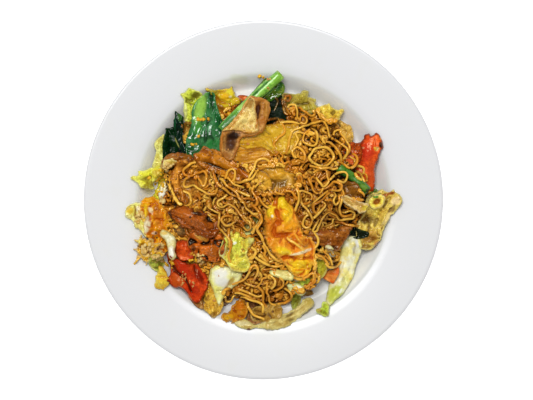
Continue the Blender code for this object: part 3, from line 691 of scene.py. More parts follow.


# finishes: the shades as shares of a piece's main colour, and what all looks have unless they say otherwise

# light is also the painted light on raised crests, and hollow the painted shade in hollows as well as the
# colour of dark grit
shades = {"light": (1.16, 1.26, 1.5), "dark": (0.72, 0.58, 0.44), "hollow": (0.42, 0.3, 0.26)}
wet = {"IOR": 1.65}
moist = {"IOR": 1.52, "Specular_Tint": (1, 0.9, 0.68, 1)}
# sink: how strongly painted shade darkens the hollows
commonLook = dict(gloss=moist, patch=7, grain=2.2, mottle=0.6, rim=0.5, sink=0.8, rough=0.12, bump=1.3,
    gleam=3.2, grit=0.3)
looks = {
    "leaf": dict(form="leaf", slot="leaf", gloss=wet, main=(20, 96, 30), edge=(38, 120, 38), patch=8,
        grain=2.4, mottle=0.7, rim=0.3, rough=0.07, bump=0.6, gleam=4,
        shades=dict(light=(1.5, 1.3, 1.5), dark=(0.5, 0.6, 0.5), hollow=(0.3, 0.34, 0.3))),
    "darkLeaf": dict(form="leaf", slot="dark_leaf", gloss=dict(IOR=1.42), main=(12, 42, 18),
        edge=(26, 72, 28), grain=2.4, rim=0.2, sink=0.6, rough=0.09, bump=1.2, gleam=3.8),
    "cabbage": dict(form="cabbage", slot="cabbage", main=(206, 200, 60), edge=(228, 222, 140), sink=0.7),
    "rib": dict(form="rib", slot="cabbage_rib", main=(230, 227, 170), edge=(216, 212, 110), patch=9,
        grain=3.4, mottle=0.25, sink=0.5, bump=0.8, gleam=4.2, grit=0.1),
    "brownCabbage": dict(form="cabbage", slot="brown_cabbage", main=(194, 150, 48), edge=(206, 174, 88),
        mottle=0.7, rim=0.4, grit=0.4),
    "pepper": dict(form="pepper", slot="pepper", gloss=dict(IOR=1.5, Specular_Tint=(1, 0.74, 0.42, 1)),
        main=(206, 54, 16), edge=(104, 34, 10), patch=9, grain=3, rim=0.7, sink=0.9, rough=0.2, bump=0.6,
        gleam=4, grit=0.5,
        shades=dict(light=(1.16, 1.5, 1.7), dark=(0.7, 0.46, 0.5), hollow=(0.34, 0.2, 0.24))),
    "egg": dict(form="egg", slot="egg", main=(244, 168, 20), edge=(250, 206, 80), grain=2.4, rim=0.3,
        sink=0.9, grit=0.2,
        shades=dict(light=(1.06, 1.2, 1.5), dark=(0.94, 0.78, 0.5), hollow=(0.8, 0.62, 0.4))),
    "eggWhite": dict(form="egg", slot="egg_white", main=(238, 212, 128), edge=(250, 238, 192), patch=5,
        mottle=0.7, rim=0.4, sink=0.9, gleam=3,
        shades=dict(light=(1.08, 1.14, 1.3), dark=(0.82, 0.66, 0.42), hollow=(0.6, 0.42, 0.3))),
    "paleMeat": dict(form="meat", slot="pale_meat", main=(208, 150, 44), edge=(190, 110, 24), patch=8,
        mottle=0.5, rough=0.18, bump=0.9, gleam=2.8, grit=0.35,
        shades=dict(light=(1.16, 1.28, 1.6), dark=(0.66, 0.52, 0.4), hollow=(0.36, 0.26, 0.22))),
    "brownMeat": dict(form="meat", slot="brown_meat", main=(164, 86, 14), edge=(130, 60, 8), sink=1,
        rough=0.18, bump=0.9, gleam=2.6, grit=0.5,
        shades=dict(light=(1.36, 1.6, 2.2), dark=(0.6, 0.46, 0.36), hollow=(0.2, 0.14, 0.14))),
}

looks["stem"] = dict(looks["leaf"], slot="stem", main=(112, 178, 58), edge=(190, 220, 110), mottle=0.4,
    rim=0.9, bump=0.3, rough=0.2)
stalk = {
    "sides": 20, "rings": 24, "rim": 0.22, "hollow": 0.5,  # how far the cut end is set in, and sunk
    "samples": 41, "sway": 0.8 * mm, "flat": 0.92, "margin": 5 * mm,
}


def makeStalk(heap, name, spec):
    # a cut stalk: a round face drawn out ring by ring, its cut end sunk in, then bent along the CAD stalk
    deselectAll()
    bpy.ops.mesh.primitive_circle_add(vertices=stalk["sides"], radius=1, fill_type="NGON")
    piece = bpy.context.object
    piece.name = name
    setMode("EDIT")
    bpy.ops.mesh.select_all(action="SELECT")
    for _ in range(stalk["rings"]):
        bpy.ops.mesh.extrude_region_move(TRANSFORM_OT_translate={"value": (0, 0, 1)})
    bpy.ops.mesh.inset(thickness=stalk["rim"])
    bpy.ops.transform.translate(value=(0, 0, -stalk["hollow"]))
    setMode("OBJECT")
    local = pointsOf(piece)
    share = local[:, 2] / stalk["rings"]
    start, end = np.array(spec["start"]) * mm, np.array(spec["end"]) * mm
    ahead = (end - start) / np.linalg.norm(end - start)
    side = np.array((-ahead[1], ahead[0]))
    shares = np.linspace(0, 1, stalk["samples"])
    line = start + shares[:, None] * (end - start)
    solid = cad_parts[spec["node"]]
    middle = (castObject(solid, line) + castObject(solid, line, upwards=True)) / 2
    known = ~np.isnan(middle)
    middle = np.interp(share, shares[known], middle[known])
    radius = np.interp(share, (0, 1), spec["wide"]) / 2 * mm
    angle = np.arctan2(local[:, 1], local[:, 0])
    ripple = 1 + 0.05 * np.sin(3 * angle + 4 * share) + 0.03 * np.sin(7 * angle) + 0.05 * np.sin(11 * share)
    aside = local[:, :1] * radius[:, None] * ripple[:, None]
    points = start + share[:, None] * (end - start) + aside * side
    points += (stalk["sway"] * np.sin(3 * share))[:, None] * side
    setPoints(piece, np.column_stack((points, middle + local[:, 1] * radius * ripple * stalk["flat"])))
    setMode("EDIT")
    bpy.ops.mesh.select_all(action="SELECT")
    bpy.ops.mesh.normals_make_consistent(inside=False)
    setMode("OBJECT")
    along = (1 - share) * np.linalg.norm(end - start) / mm
    addAttribute(piece, "form", np.column_stack((along, np.zeros(len(along)), share)))
    low, high = np.minimum(start, end) - stalk["margin"], np.maximum(start, end) + stalk["margin"]
    part, spots = heap.window(low, high)
    shape = heap.x[part].shape
    top, under = (castObject(piece, spots, upwards).reshape(shape) for upwards in (False, True))
    away = np.where(np.isnan(top), -1.0, 5.0)
    heap.note(part, np.where(away > 0, under, 1), np.where(away > 0, top, 0), away, "high")
    look = pieceLook("stem", spec)
    return finishPiece(piece, cookedPaint(name + "Cooked", look, spec["dabs"]), look["slot"], spec["node"])


# every topping in the order it was laid, in millimetres: outline (x, y, x, y and so on), lumps and swells
# (x, y, half width, half height, turn, rise), creases (width, depth, then the line as x, y, x, y), dabs of
# colour (x, y, half width, half height, turn, red, green, blue, share), some of them painted shade or
# painted highlights, and places kept bare of noodles (x, y, half sizes); a name that the CAD doesn't have
# is a scrap, or a second layer of the node it gives

toppings = {
    "cabbage_left_edge": dict(look="cabbage", lies="low", grain=80,
        outline=(-75, 49.5, -78, 47.5, -81, 44.5, -82.5, 41.5, -81, 36, -82.5, 31.5, -84, 24, -81, 21.5,
            -78, 24, -75, 28.5, -74, 33.5, -74, 40), tint=(231, 220, 97),
        dabs=[(-76, 40, 6, 2, 80, 180, 180, 60, 0.7)]),
    "cabbage_left_tip": dict(look="cabbage", lies="low",
        outline=(-100, 16, -97, 18, -94, 18, -94, 21, -89, 22, -84, 24, -77, 24, -76, 20, -80, 16, -83, 12,
            -82, 8, -88, 8, -92, 9, -94, 12, -96, 14), tint=(255, 255, 73),
        lumps=[(-90, 18, 6, 2.5, 20, 1.5), (-88, 11, 4, 2.5, 0, 1.2)],
        creases=[(1, 1.2, -95, 15, -88, 15.5, -82, 19)],
        dabs=[(-86, 11, 6, 3.5, 30, 134, 107, 22, 0.8), (-81, 19, 3, 3, 0, 209, 181, 54, 0.8)]),
    "cabbage_top_left": dict(look="cabbage", lies="low",
        outline=(-56, 84, -53, 83, -50, 82, -46, 80, -46, 76, -48, 74, -49, 70, -50, 64, -53, 57, -58, 56,
            -60, 62, -60, 67, -60, 72, -60, 75, -62, 79, -59, 81), tint=(210, 227, 60),
        lumps=[(-57, 80, 3, 3, 0, 1.5), (-58, 68, 2, 6, 0, 1.2)],
        creases=[(1, 1.6, -61, 73.5, -54, 74.5), (0.9, 1, -55, 74, -53, 62)],
        dabs=[(-50.7, 78.7, 4.5, 3, 0, 112, 108, 30, 0.9), (-58.5, 66, 1.5, 8, 0, 226, 228, 140, 0.8)]),
    "leaf_dark": dict(look="darkLeaf",
        outline=(-74, 54, -71, 54, -68, 55, -66, 51, -65, 46, -62, 40, -60, 34, -66, 31, -71, 30, -76, 28,
            -76, 34, -76, 42, -74, 50), tint=(8, 38, 13), finish=dict(rough=0.16, gloss=dict(IOR=1.32)),
        creases=[(0.9, 1, -72, 53, -70, 40, -72, 32)], lumps=[(-73, 40, 2, 9, 0, 1.2)],
        dabs=[(-65, 43, 5.5, 0.9, -66, 176, 176, 90, 0.9), (-62.5, 36, 2, 5, 20, 18, 22, 24, 0.9)]),
    "leaf_narrow": dict(look="darkLeaf",
        outline=(-66.5, 66.5, -64, 65, -60.5, 63, -60, 60, -60, 54, -61, 48.5, -60, 42.5, -57, 36,
            -55, 31.5, -59.5, 32, -62.5, 38, -65.5, 45, -67, 51.5, -68, 57, -67, 61.5), tint=(14, 34, 23),
        swells=[(-64, 60, 4, 8, 0, 1.5)],
        dabs=[(-63, 62.5, 2.2, 4, 0, 62, 108, 42, 0.9), (-66.5, 58, 0.9, 7, 0, 20, 74, 40, 0.9)]),
    "egg_top": dict(look="egg", lies="low",
        outline=(-44, 83, -40, 84, -36, 83, -32, 83, -26, 84, -24, 86, -22, 82, -20, 78, -16, 75, -20, 72,
            -25, 70, -29, 66, -32, 65, -37, 68, -39, 76, -41, 80),
        lumps=[(-29, 77, 6, 4.5, -10, 2.6), (-38, 80.5, 4.5, 2, 0, 1.4), (-31, 70, 4, 2.5, -30, 1.5)],
        creases=[(1.1, 1.6, -37, 78, -32, 74, -26, 72.5)], tint=(223, 183, 34),
        dabs=[(-37.5, 81, 6, 2.4, 0, 178, 160, 52, 0.9), (-32, 69.5, 5, 2.5, -40, 140, 74, 20, 0.85),
            # the small pale dab at (-25, 77.5) is a painted highlight
            (-28.6, 77.4, 4.5, 3.5, 0, 246, 188, 28, 0.9), (-25, 77.5, 1.4, 1.2, 0, 255, 240, 170, 0.9),
            (-35, 76, 2.4, 2, 30, 200, 130, 40, 0.8)]),
    "pepper_tip": dict(look="pepper", lies="low", outline=(-20, 78.5, -16, 80, -12, 78.5, -12, 75, -17, 74),
        tint=(214, 84, 30)),
    "brown_scrap": dict(look="brownMeat", lies="low",
        outline=(-60, 59, -56.5, 59.5, -53, 57, -54, 52, -58.5, 48, -61.5, 51.5, -61.5, 56),
        tint=(150, 96, 26)),
    "leaf_shaded": dict(look="darkLeaf", lies="bare",
        outline=(2, 76, 8, 78, 13, 80, 16, 76, 17, 70, 19, 62, 18, 57, 12, 57, 6, 54, 0, 50, -3, 58, 0, 64,
            1, 70), tint=(15, 30, 11), finish=dict(rough=0.4, gloss=dict(IOR=1.25)),
        dabs=[(15, 58, 5, 2.5, 20, 17, 49, 24, 0.8), (12, 74, 3, 4, 0, 28, 20, 8, 0.8)]),
    "cabbage_top_right": dict(look="cabbage", lies="low",
        outline=(14, 80, 20, 80, 25, 80, 28, 81, 30, 83, 34, 82, 34, 78, 37, 77, 40, 76, 40, 72, 43, 69,
            38, 65, 31, 64, 26, 66, 19, 66, 15, 73), tint=(174, 148, 45),
        lumps=[(30, 78, 4, 5, 0, 1.8), (22, 74, 4, 3, 30, 1.4), (37, 72, 4, 3, -30, 1.4)],
        creases=[(1, 1.6, 18, 76, 26, 72, 34, 73), (0.9, 1, 26, 79, 27, 70)],
        dabs=[(18, 77, 5, 3.5, 0, 120, 79, 37, 0.85), (24, 71, 6, 1.4, 12, 212, 191, 96, 0.8),
            (36, 74, 3.5, 1.2, -30, 211, 189, 104, 0.7)]),
    "cabbage_top_right_small": dict(look="cabbage", lies="low",
        outline=(41, 70, 45, 71, 48, 72, 50, 73, 52, 70, 56, 68, 59, 69, 61, 67, 59, 64, 57, 60, 52, 58,
            46, 59, 41, 64), tint=(229, 180, 53),
        lumps=[(49, 68, 4, 3.5, 30, 1.6), (56, 65, 4, 2.5, 10, 1.2)],
        creases=[(0.9, 1.2, 44, 66, 52, 65.5, 59, 66)]),
    "cabbage_right_edge": dict(look="brownCabbage", lies="low",
        outline=(54, 62, 59, 60, 62, 58, 66, 56, 68, 50, 68, 46, 66, 40, 62, 40, 58, 45, 55, 51, 52, 57),
        tint=(220, 165, 62), creases=[(1, 1.4, 57, 57, 63, 50, 64, 43)],
        lumps=[(63, 54, 3.5, 3, -40, 1.6), (65, 46, 2, 4, 0, 1.2)]),
    "leaf_under_noodles": dict(look="darkLeaf", lies="open",
        outline=(27, 50, 36, 50, 44, 45, 46, 39, 44, 32, 36, 28, 27, 28, 22, 33, 21, 42), tint=(16, 34, 16),
        finish=dict(rough=0.4, gloss=dict(IOR=1.25))),
    "leaf_big": dict(look="leaf", cell=0.5, grain=80,
        outline=(-42, 81, -37, 80, -36, 75, -34, 68, -31, 60, -28, 54, -29, 48, -29, 40, -26, 31, -38, 31,
            -50, 30, -56, 32, -58, 37, -58, 44, -56, 52, -54, 58, -54, 66, -51, 73, -46, 78),
        tint=(50, 112, 58), form=dict(folds=(4.5, 0.9, 1.5), frill=0.8),
        lumps=[(-47, 66, 4, 13, -15, 1.5), (-36, 55, 5, 14, 8, 1.2)],
        creases=[(1, 1.4, -40, 79, -40, 68, -43, 52, -44, 36), (0.8, 1.2, -38, 78, -36, 66)],
        dabs=[(-47.5, 68, 14, 4.6, 76, 162, 212, 84, 1), (-49, 54, 6, 3.5, 80, 78, 160, 58, 0.8),
            # the dark strip at (-38.8, 74) along the fold is painted shade
            (-38.8, 74, 8, 1.6, 96, 16, 58, 28, 0.95), (-33, 57, 12, 3.2, -72, 22, 92, 40, 0.8),
            (-43.5, 35, 13, 4, 0, 34, 98, 44, 0.8), (-55, 38, 4, 6, 0, 18, 80, 34, 0.8),
            (-38, 42, 6, 4, 20, 40, 126, 52, 0.7), (-51, 44, 5, 3, 60, 24, 100, 40, 0.7)]),
    "leaf_on_stem": dict(look="leaf",
        outline=(2, 92, 6, 90, 14, 89, 16, 84, 15, 80, 11, 77, 6, 74, -1, 72, -6, 75, -10, 78, -6, 84,
            -2, 88), tint=(77, 107, 25), lumps=[(9, 84, 8, 3, 50, 2.5), (1, 77, 7, 2.5, 40, 1.5)],
        creases=[(1.2, 1.2, 13, 89, 4, 78, -2, 73)],
        dabs=[(12, 85, 6, 2, 55, 28, 92, 36, 0.8), (0, 74, 5, 2, 40, 12, 40, 22, 0.9),
            (5, 81, 5, 1, 45, 120, 190, 90, 0.7)]),
    "stem_long": dict(start=(-31.5, 52), end=(13, 93.8), wide=(6, 8.4),
        dabs=[(-26, 57, 11, 5, 43, 36, 116, 48, 0.85), (-14, 66, 8, 2, 43, 70, 150, 56, 0.7),
            (-3, 82, 18, 1.1, 43, 24, 96, 40, 0.8), (10, 91, 6, 3, 43, 142, 200, 64, 0.8),
            (-16, 70, 6, 1.2, 43, 176, 214, 110, 0.6)]),
    "pepper_right": dict(look="pepper", cell=0.55, grain=78, tint=(229, 71, 21),
        outline=(76, 48, 79, 50, 81, 48, 84, 50, 86, 50, 88, 47, 90, 42, 90, 39, 88, 36, 86, 30, 84, 23,
            84, 16, 84, 10, 83, 6, 80, 5, 77, 9, 72, 14, 67, 20, 66, 28, 66, 36, 69, 42, 74, 44),
        lumps=[(78, 34, 5, 12, -10, 1.8), (83.5, 21, 2.5, 9, 5, 1.2), (72, 42, 3, 2, 30, 1.4),
            (79, 48, 2, 1.5, 0, 1.2), (88, 42, 2, 3.5, 0, 1.6)],
        creases=[(0.9, 1.2, 73, 42, 75, 34, 73, 26), (0.8, 0.6, 84, 46, 82, 34, 80, 20)],
        dabs=[(78, 36, 5.5, 9, -5, 206, 44, 28, 0.8), (82, 20, 4, 13, 5, 216, 84, 34, 0.85),
            (71, 38, 2, 7, 10, 126, 62, 20, 0.9), (73.5, 43, 2.6, 1.8, 30, 140, 40, 14, 0.8),
            (81, 49.5, 6, 1.6, 0, 150, 54, 18, 0.9), (88, 41, 1.8, 3.2, 10, 74, 26, 10, 1),
            (88.3, 46, 1.3, 1.6, 0, 236, 150, 60, 0.9), (85, 38, 2.2, 1.8, 30, 232, 196, 110, 0.9),
            (75, 39, 1, 1, 0, 244, 170, 110, 0.8), (84, 9, 1, 3, 0, 160, 50, 20, 0.7)]),
    "meat_by_pepper": dict(look="brownMeat",
        outline=(63, 41, 67, 43, 72, 42, 74, 38, 74, 33, 72, 27, 68, 24, 64, 26, 60, 32, 60, 38),
        tint=(167, 61, 12)),
    "stem_short": dict(start=(56, 23.8), end=(78, 6.2), wide=(6.6, 7.4), tint=(55, 109, 24),
        edge=(100, 128, 48),
        # the long dark dab along the stalk's lower side is painted shade
        dabs=[(64, 14, 12, 1.8, -39, 26, 81, 27, 0.85), (74.6, 9.2, 4, 2.4, -39, 118, 156, 46, 0.75),
            (77.5, 6.5, 2.2, 2.2, 0, 56, 56, 20, 0.9)]),
    "meat_edge": dict(look="brownMeat", lies="low",
        outline=(58, 14, 64, 14, 70, 12, 72, 7, 74, 4, 72, 0, 68, -1, 62, 1, 58, 5, 56, 10),
        tint=(112, 60, 10)),
    "cabbage_right": dict(look="cabbage", cell=0.55, grain=62,
        outline=(82, 5, 86, 6, 89, 8, 92, 6, 96, 6, 98, 8, 100, 5, 104, 2, 103, -3, 100, -8, 96, -12,
            92, -18, 90, -24, 88, -30, 85, -34, 80, -38, 76, -38, 72, -36, 70, -27, 70, -19, 73, -14,
            76, -8, 76, -3, 78, 2), tint=(223, 181, 71),
        lumps=[(97, -1, 3.5, 5, 30, 2.4), (91, -12, 2, 10, -25, 2.2), (85, -8, 3, 6, -30, 1.2),
            (80, -27, 6, 2, 20, 2), (82, -33, 4, 2, 10, 2), (77, -22, 3, 3, 0, 1.2)],
        creases=[(1, 1.8, 95, 1, 88, -8, 84, -20), (0.8, 1.4, 100, -2, 93, -10, 89, -22),
            (1, 2, 74, -25, 82, -30, 88, -29), (1.1, 1.8, 76, -10, 80, -16, 79, -24)],
        dabs=[(99, -1, 5, 3.6, 40, 251, 222, 158, 0.95), (93.5, -12, 11, 1.8, 58, 246, 220, 140, 0.9),
            (86, -8, 7, 3, 60, 218, 198, 72, 0.7), (76.5, -15.5, 4.5, 3.5, 0, 86, 55, 16, 0.9),
            (90, 3, 5, 1.6, 20, 174, 86, 28, 0.9), (96, 5, 3.5, 1.4, 10, 165, 71, 20, 0.9),
            (80, -29, 8, 4, 15, 156, 90, 26, 0.8), (79, -25, 6, 1.2, 10, 238, 184, 90, 0.8),
            (77, -35, 4, 2.5, 0, 132, 86, 28, 0.8), (85, -33, 3, 2.5, 40, 194, 112, 44, 0.7)]),
    "egg_ring": dict(look="eggWhite", cell=0.5,
        outline=(79, 1.5, 82.5, 4, 87.5, 4.2, 91.5, 2, 91, -1.5, 88, -5.5, 84, -7.5, 80, -6.5, 77.5, -2.5),
        tint=(255, 213, 75), form=dict(folds=(3, 0.4, 1)), lumps=[(84.5, -1.3, 4.5, 3, 25, -3)],
        dabs=[(84.5, -1.3, 4, 2.2, 25, 176, 100, 40, 0.95), (84.5, -1.3, 1.6, 1, 0, 236, 200, 130, 0.7)]),
    "egg_strand": dict(look="eggWhite", cell=0.5, grain=-25,
        outline=(58, 4, 64, 2, 68, 0, 73, -2, 78, -4, 76, -8, 72, -10, 67, -7, 62, -4, 58, 0),
        tint=(216, 172, 80), form=dict(folds=(3, 0.8, 3)),
        dabs=[(75.5, -6, 3, 2.4, 0, 240, 214, 60, 0.9), (66, -1, 3, 1.6, -30, 214, 150, 60, 0.7)]),
    "cabbage_rib_long": dict(look="rib", grain=-70,
        outline=(65, -27, 72, -29, 74, -33, 74, -37, 73, -42, 70, -50, 68, -58, 64, -65, 60, -71, 54, -76,
            50, -80, 47, -78, 48, -71, 50, -63, 54, -56, 56, -49, 57, -42, 59, -35, 61, -30),
        tint=(255, 243, 148), lumps=[(66, -45, 4, 15, 15, 1.6), (55, -68, 3, 9, 30, 1.2)],
        creases=[(0.8, 0.8, 69, -35, 66, -50, 58, -66), (0.7, 0.8, 62, -56, 54, -70)],
        dabs=[(54, -71, 10, 6, 55, 202, 210, 64, 0.9), (61, -62, 6, 3, 60, 220, 220, 110, 0.7),
            # the two near-white dabs at (70.5, -33) and (58, -68.6) are painted glints
            (70.5, -33, 4, 1.3, -75, 255, 255, 246, 0.9), (58, -68.6, 2.6, 1.2, 60, 250, 252, 230, 0.9),
            (68, -57, 6, 1.4, 62, 226, 222, 150, 0.8), (66, -60, 1.6, 1.6, 0, 226, 200, 40, 0.7),
            (57.5, -43, 5, 1.6, 75, 204, 184, 80, 0.8)]),
    "cabbage_bit": dict(look="cabbage", lies="low",
        outline=(44, -77, 46.5, -76.5, 49, -78, 49.5, -82.5, 48.5, -86.5, 46, -88, 43, -86.5, 39.5, -84,
            40, -81.5, 43.5, -81), tint=(184, 196, 50), dabs=[(41.5, -83, 2.2, 1.6, 0, 190, 150, 60, 0.8)],
    ),
    "pepper_small_right": dict(look="pepper", lies="low", bare=[(50, -57, 8.5, 6.5)],
        outline=(43.5, -57.5, 47, -54, 51, -52.5, 57, -51.5, 56.5, -56, 53.5, -62, 51.5, -63, 47.5, -60.5),
        tint=(255, 112, 40), finish=dict(rim=0.2, mottle=0.3, grit=0.1, sink=0.1)),
    "cabbage_yellow": dict(look="cabbage", lies="low",
        outline=(40, -40.5, 44.5, -42, 47.5, -46.5, 48.5, -52, 45.5, -57.5, 41, -60.5, 38, -55, 37, -48,
            37.5, -43), tint=(200, 182, 44)),
    "cabbage_under_egg": dict(look="cabbage", lies="low",
        outline=(22, -56, 29, -57.5, 34, -55, 38.5, -54.5, 40, -58.5, 37, -63, 33.5, -66, 29, -66,
            23.5, -64, 19.5, -60), tint=(196, 200, 56),
        dabs=[(24.5, -60, 2.6, 2.2, 0, 250, 246, 214, 0.8), (33, -62, 4, 2.4, 20, 190, 200, 50, 0.8)]),
    "cabbage_rib_upper": dict(look="rib", grain=-15,
        outline=(5, -53, 10, -52, 15.5, -52.5, 21, -53.5, 23, -57.5, 20.5, -60.5, 14.5, -59.5, 9.5, -58,
            5, -56), tint=(228, 206, 114)),
    "cabbage_rib_lower": dict(look="rib", grain=-15,
        outline=(17.5, -64, 21.5, -62.5, 26.5, -63, 31.5, -65.5, 31.5, -69, 29, -72, 24.5, -70.5, 20, -69),
        tint=(210, 205, 125), dabs=[(26, -66.5, 5, 2.4, -20, 255, 252, 232, 0.8)]),
    "olive_leaf": dict(look="cabbage", lies="low",
        outline=(21.5, -69.5, 25.5, -69, 28.5, -72.5, 28.5, -78, 26, -83.5, 22.5, -84, 20.5, -77),
        tint=(150, 144, 40)),
    "brown_tip": dict(look="brownMeat", lies="low",
        outline=(29, -71, 32, -68.5, 35.5, -68, 38, -70.5, 36, -73, 30.5, -73.5), tint=(142, 94, 26)),
    "olive_film": dict(look="brownCabbage", lies="open",
        outline=(-14, -72, -6, -73, 3, -73, 12, -72, 19, -71, 22, -75, 20, -79, 13, -81, 14, -86, 8, -90,
            0, -93, -8, -94, -13, -92, -12, -84), tint=(157, 101, 52)),
    "cabbage_strip_bottom": dict(look="cabbage", lies="low", grain=15,
        outline=(-22, -91, -17, -90, -12, -91, -6, -94, 0, -92, 8, -88, 16, -86, 23, -82, 28, -78, 30, -75,
            34, -74, 38, -76, 38, -80, 33, -84, 28, -88, 23, -92, 16, -96, 8, -98, 0, -97, -6, -96,
            -11, -98, -16, -97, -20, -95), tint=(199, 169, 86), finish=dict(mottle=0.3, grit=0.1),
        form=dict(folds=(4.4, 0.5, 2.5)), creases=[(0.8, 0.9, -4, -94.5, 8, -92.5, 20, -87, 32, -78)],
        dabs=[(-11, -97.3, 1.8, 1.1, 0, 104, 36, 14, 1), (-16, -93, 7, 2, 0, 222, 208, 150, 0.9),
            (-2, -92, 5, 1.2, 10, 226, 210, 160, 0.8), (34, -77, 3.5, 3, 40, 206, 180, 84, 0.8)]),
    "cabbage_bottom_leaf": dict(look="brownCabbage", lies="open",
        outline=(-2, -80, 5, -78, 11, -78, 14, -82, 14, -88, 8, -90, 2, -92, -4, -92, -10, -90, -9, -83),
        tint=(173, 126, 46),
        dabs=[(7, -84, 1.2, 1.2, 0, 90, 46, 18, 0.9), (-6, -88, 3, 1.6, 0, 84, 48, 20, 0.8)]),
    "egg_bottom": dict(look="egg", cell=0.5,
        outline=(-20, -76, -18, -74, -14, -76, -12, -81, -12, -86, -16, -90, -20, -91, -24, -94, -24, -91,
            -28, -92, -32, -89, -30, -86, -26, -84, -24, -80), tint=(197, 117, 17),
        lumps=[(-17.5, -81, 4, 5, 0, 2.2), (-26, -88, 5, 2.5, 10, 1.6)],
        creases=[(1, 1.6, -23, -82, -19, -87, -15, -88)],
        dabs=[(-17.5, -79, 4, 4.5, 0, 212, 116, 18, 0.8), (-27, -88, 5, 2.4, 10, 230, 172, 20, 0.9),
            (-16, -88, 3, 2, 0, 224, 155, 24, 0.8), (-19, -90, 1.1, 1.1, 0, 138, 53, 12, 0.8)]),
    "cabbage_golden": dict(look="brownCabbage", cell=0.5,
        outline=(-44, -62, -40, -62, -36, -67, -32, -72, -30, -78, -31, -82, -35, -88, -38, -89, -41, -86,
            -46, -82, -48, -78, -49, -72, -46, -67), tint=(213, 159, 47),
        lumps=[(-41, -73, 3.5, 6, 20, 1.8), (-37, -82, 4, 3, 40, 1.6), (-45, -80, 1.6, 3, 20, 1.4)],
        creases=[(1, 1.4, -44, -68, -39, -76, -36, -84), (0.8, 1, -47, -76, -40, -80)],
        dabs=[(-46, -79.5, 3.6, 1.2, 65, 236, 222, 170, 0.9), (-38, -86, 4, 2, 30, 128, 84, 24, 0.8),
            (-34, -79, 3, 2, 50, 172, 134, 50, 0.7), (-42, -74, 3, 1.4, 70, 150, 96, 30, 0.8)]),
    "curl_tip": dict(look="brownMeat", lies="low", cell=0.5,
        outline=(-55.5, -69, -51.5, -68.5, -48.5, -73, -45.5, -77, -44.5, -81, -48, -82, -53, -78.5,
            -56, -74), tint=(160, 104, 40), lumps=[(-52, -73, 2, 4, 35, 1.6)]),
    "cabbage_rib_white": dict(look="rib",
        outline=(-38, -50, -31, -48, -26, -50, -21, -51, -16, -54, -16, -59, -20, -64, -25, -68, -29, -72,
            -33, -79, -36, -74, -38, -67, -41, -60, -40, -54), tint=(250, 245, 132),
        lumps=[(-31, -57.5, 8, 7.5, 0, 1.4), (-20, -56, 4, 2.5, 40, 1.2), (-32, -73, 2, 5, -10, 1)],
        creases=[(0.8, 1.2, -22.5, -51, -24, -60, -29, -68, -35, -68)],
        dabs=[(-32, -55, 6.6, 4.8, 4, 250, 248, 232, 1), (-31.2, -61, 6.4, 4.8, -4, 250, 248, 232, 1),
            (-21, -56, 2, 4.5, -40, 224, 222, 140, 0.8), (-24, -61, 2, 5, -35, 178, 130, 30, 0.7),
            (-39.5, -58, 1, 7, -8, 214, 206, 110, 0.9)]),
    "cabbage_centre": dict(look="cabbage", cell=0.5,
        outline=(-26, -25, -21, -22, -15, -24, -9, -24, -6, -29, -9, -34, -12, -40, -10, -45, -10, -51,
            -14, -54, -18, -54, -24, -52, -28, -45, -33, -41, -32, -36, -30, -30), tint=(235, 204, 67),
        lumps=[(-20, -33, 5, 6, 10, 2.6), (-11, -29, 3, 3.5, 0, 1.8), (-29, -38, 2.4, 5, -10, 1.6),
            (-15, -47, 4, 4, 0, 1.6)],
        creases=[(1.1, 1.8, -25, -27, -25.5, -36, -22, -44, -14, -41), (1, 1.4, -14, -27, -14.5, -38)],
        dabs=[(-20, -33, 4.5, 5, 10, 206, 216, 66, 0.8), (-29.5, -38, 2.4, 6, -10, 232, 226, 150, 0.9),
            (-9.5, -29.5, 2.4, 4, 10, 222, 216, 122, 0.9), (-15, -48, 4.5, 4, 0, 196, 196, 66, 0.8),
            # the small near-white dab at (-21, -32) is a painted glint
            (-21, -32, 1.9, 1.2, 30, 255, 255, 236, 0.95), (-24, -43, 1.4, 4, -30, 150, 140, 30, 0.8)]),
    "golden_left": dict(look="egg", finish=dict(sink=0.4, mottle=0.4), lies="bare", cell=0.5,
        outline=(-82, 24, -77, 25, -72, 21, -71, 14, -72, 5, -74, -2, -80, -3, -85, 1, -82, 8, -80, 14,
            -83, 18), tint=(255, 244, 52), form=dict(folds=(3.4, 1.5, 1), thick=3, ragged=1.2),
        dabs=[(-80, 20, 4, 3, 0, 226, 200, 84, 0.8), (-75, 2, 3, 5, 0, 170, 100, 30, 0.7)]),
    "cabbage_white_left": dict(look="rib", cell=0.5,
        outline=(-78, 10.5, -75.5, 13.5, -72, 13, -70.5, 9, -72.5, 5, -74.5, 2, -76.5, -1.5, -79, 1.5,
            -79.5, 6), tint=(244, 228, 160), finish=dict(sink=0.2),
        dabs=[(-73, 8, 1.6, 4, -20, 170, 150, 70, 0.8)]),
    "egg_left_white": dict(look="eggWhite", cell=0.5,
        outline=(-96, -2, -92, -2, -87, -5, -86, -12, -86, -18, -84, -22, -84, -29, -89, -28, -92, -24,
            -97, -20, -98, -16, -104, -12, -103, -6, -100, -4), tint=(255, 255, 126),
        lumps=[(-99.5, -8, 3.5, 3.5, 0, 2), (-93, -8, 2.6, 4, 20, 1.8), (-93, -19, 3, 4, 20, 1.4)],
        creases=[(0.9, 1.6, -96.5, -5, -95.5, -12, -91, -18)],
        dabs=[(-100, -8, 3.4, 3.4, 0, 244, 200, 40, 0.9), (-94, -7, 2.2, 3, 0, 244, 230, 190, 0.9),
            (-96, -12, 1, 4, 10, 150, 90, 30, 0.7), (-94, -20, 3, 4, 20, 226, 206, 104, 0.8)]),
    "egg_left": dict(look="egg", cell=0.5, grain=80,
        outline=(-91, 0, -85, 2, -80, 0, -76, -5, -72, -12, -71, -20, -73, -27, -70, -34, -72, -40,
            -79, -39, -84, -34, -88, -27, -90, -20, -91, -12, -92, -6), tint=(236, 149, 16),
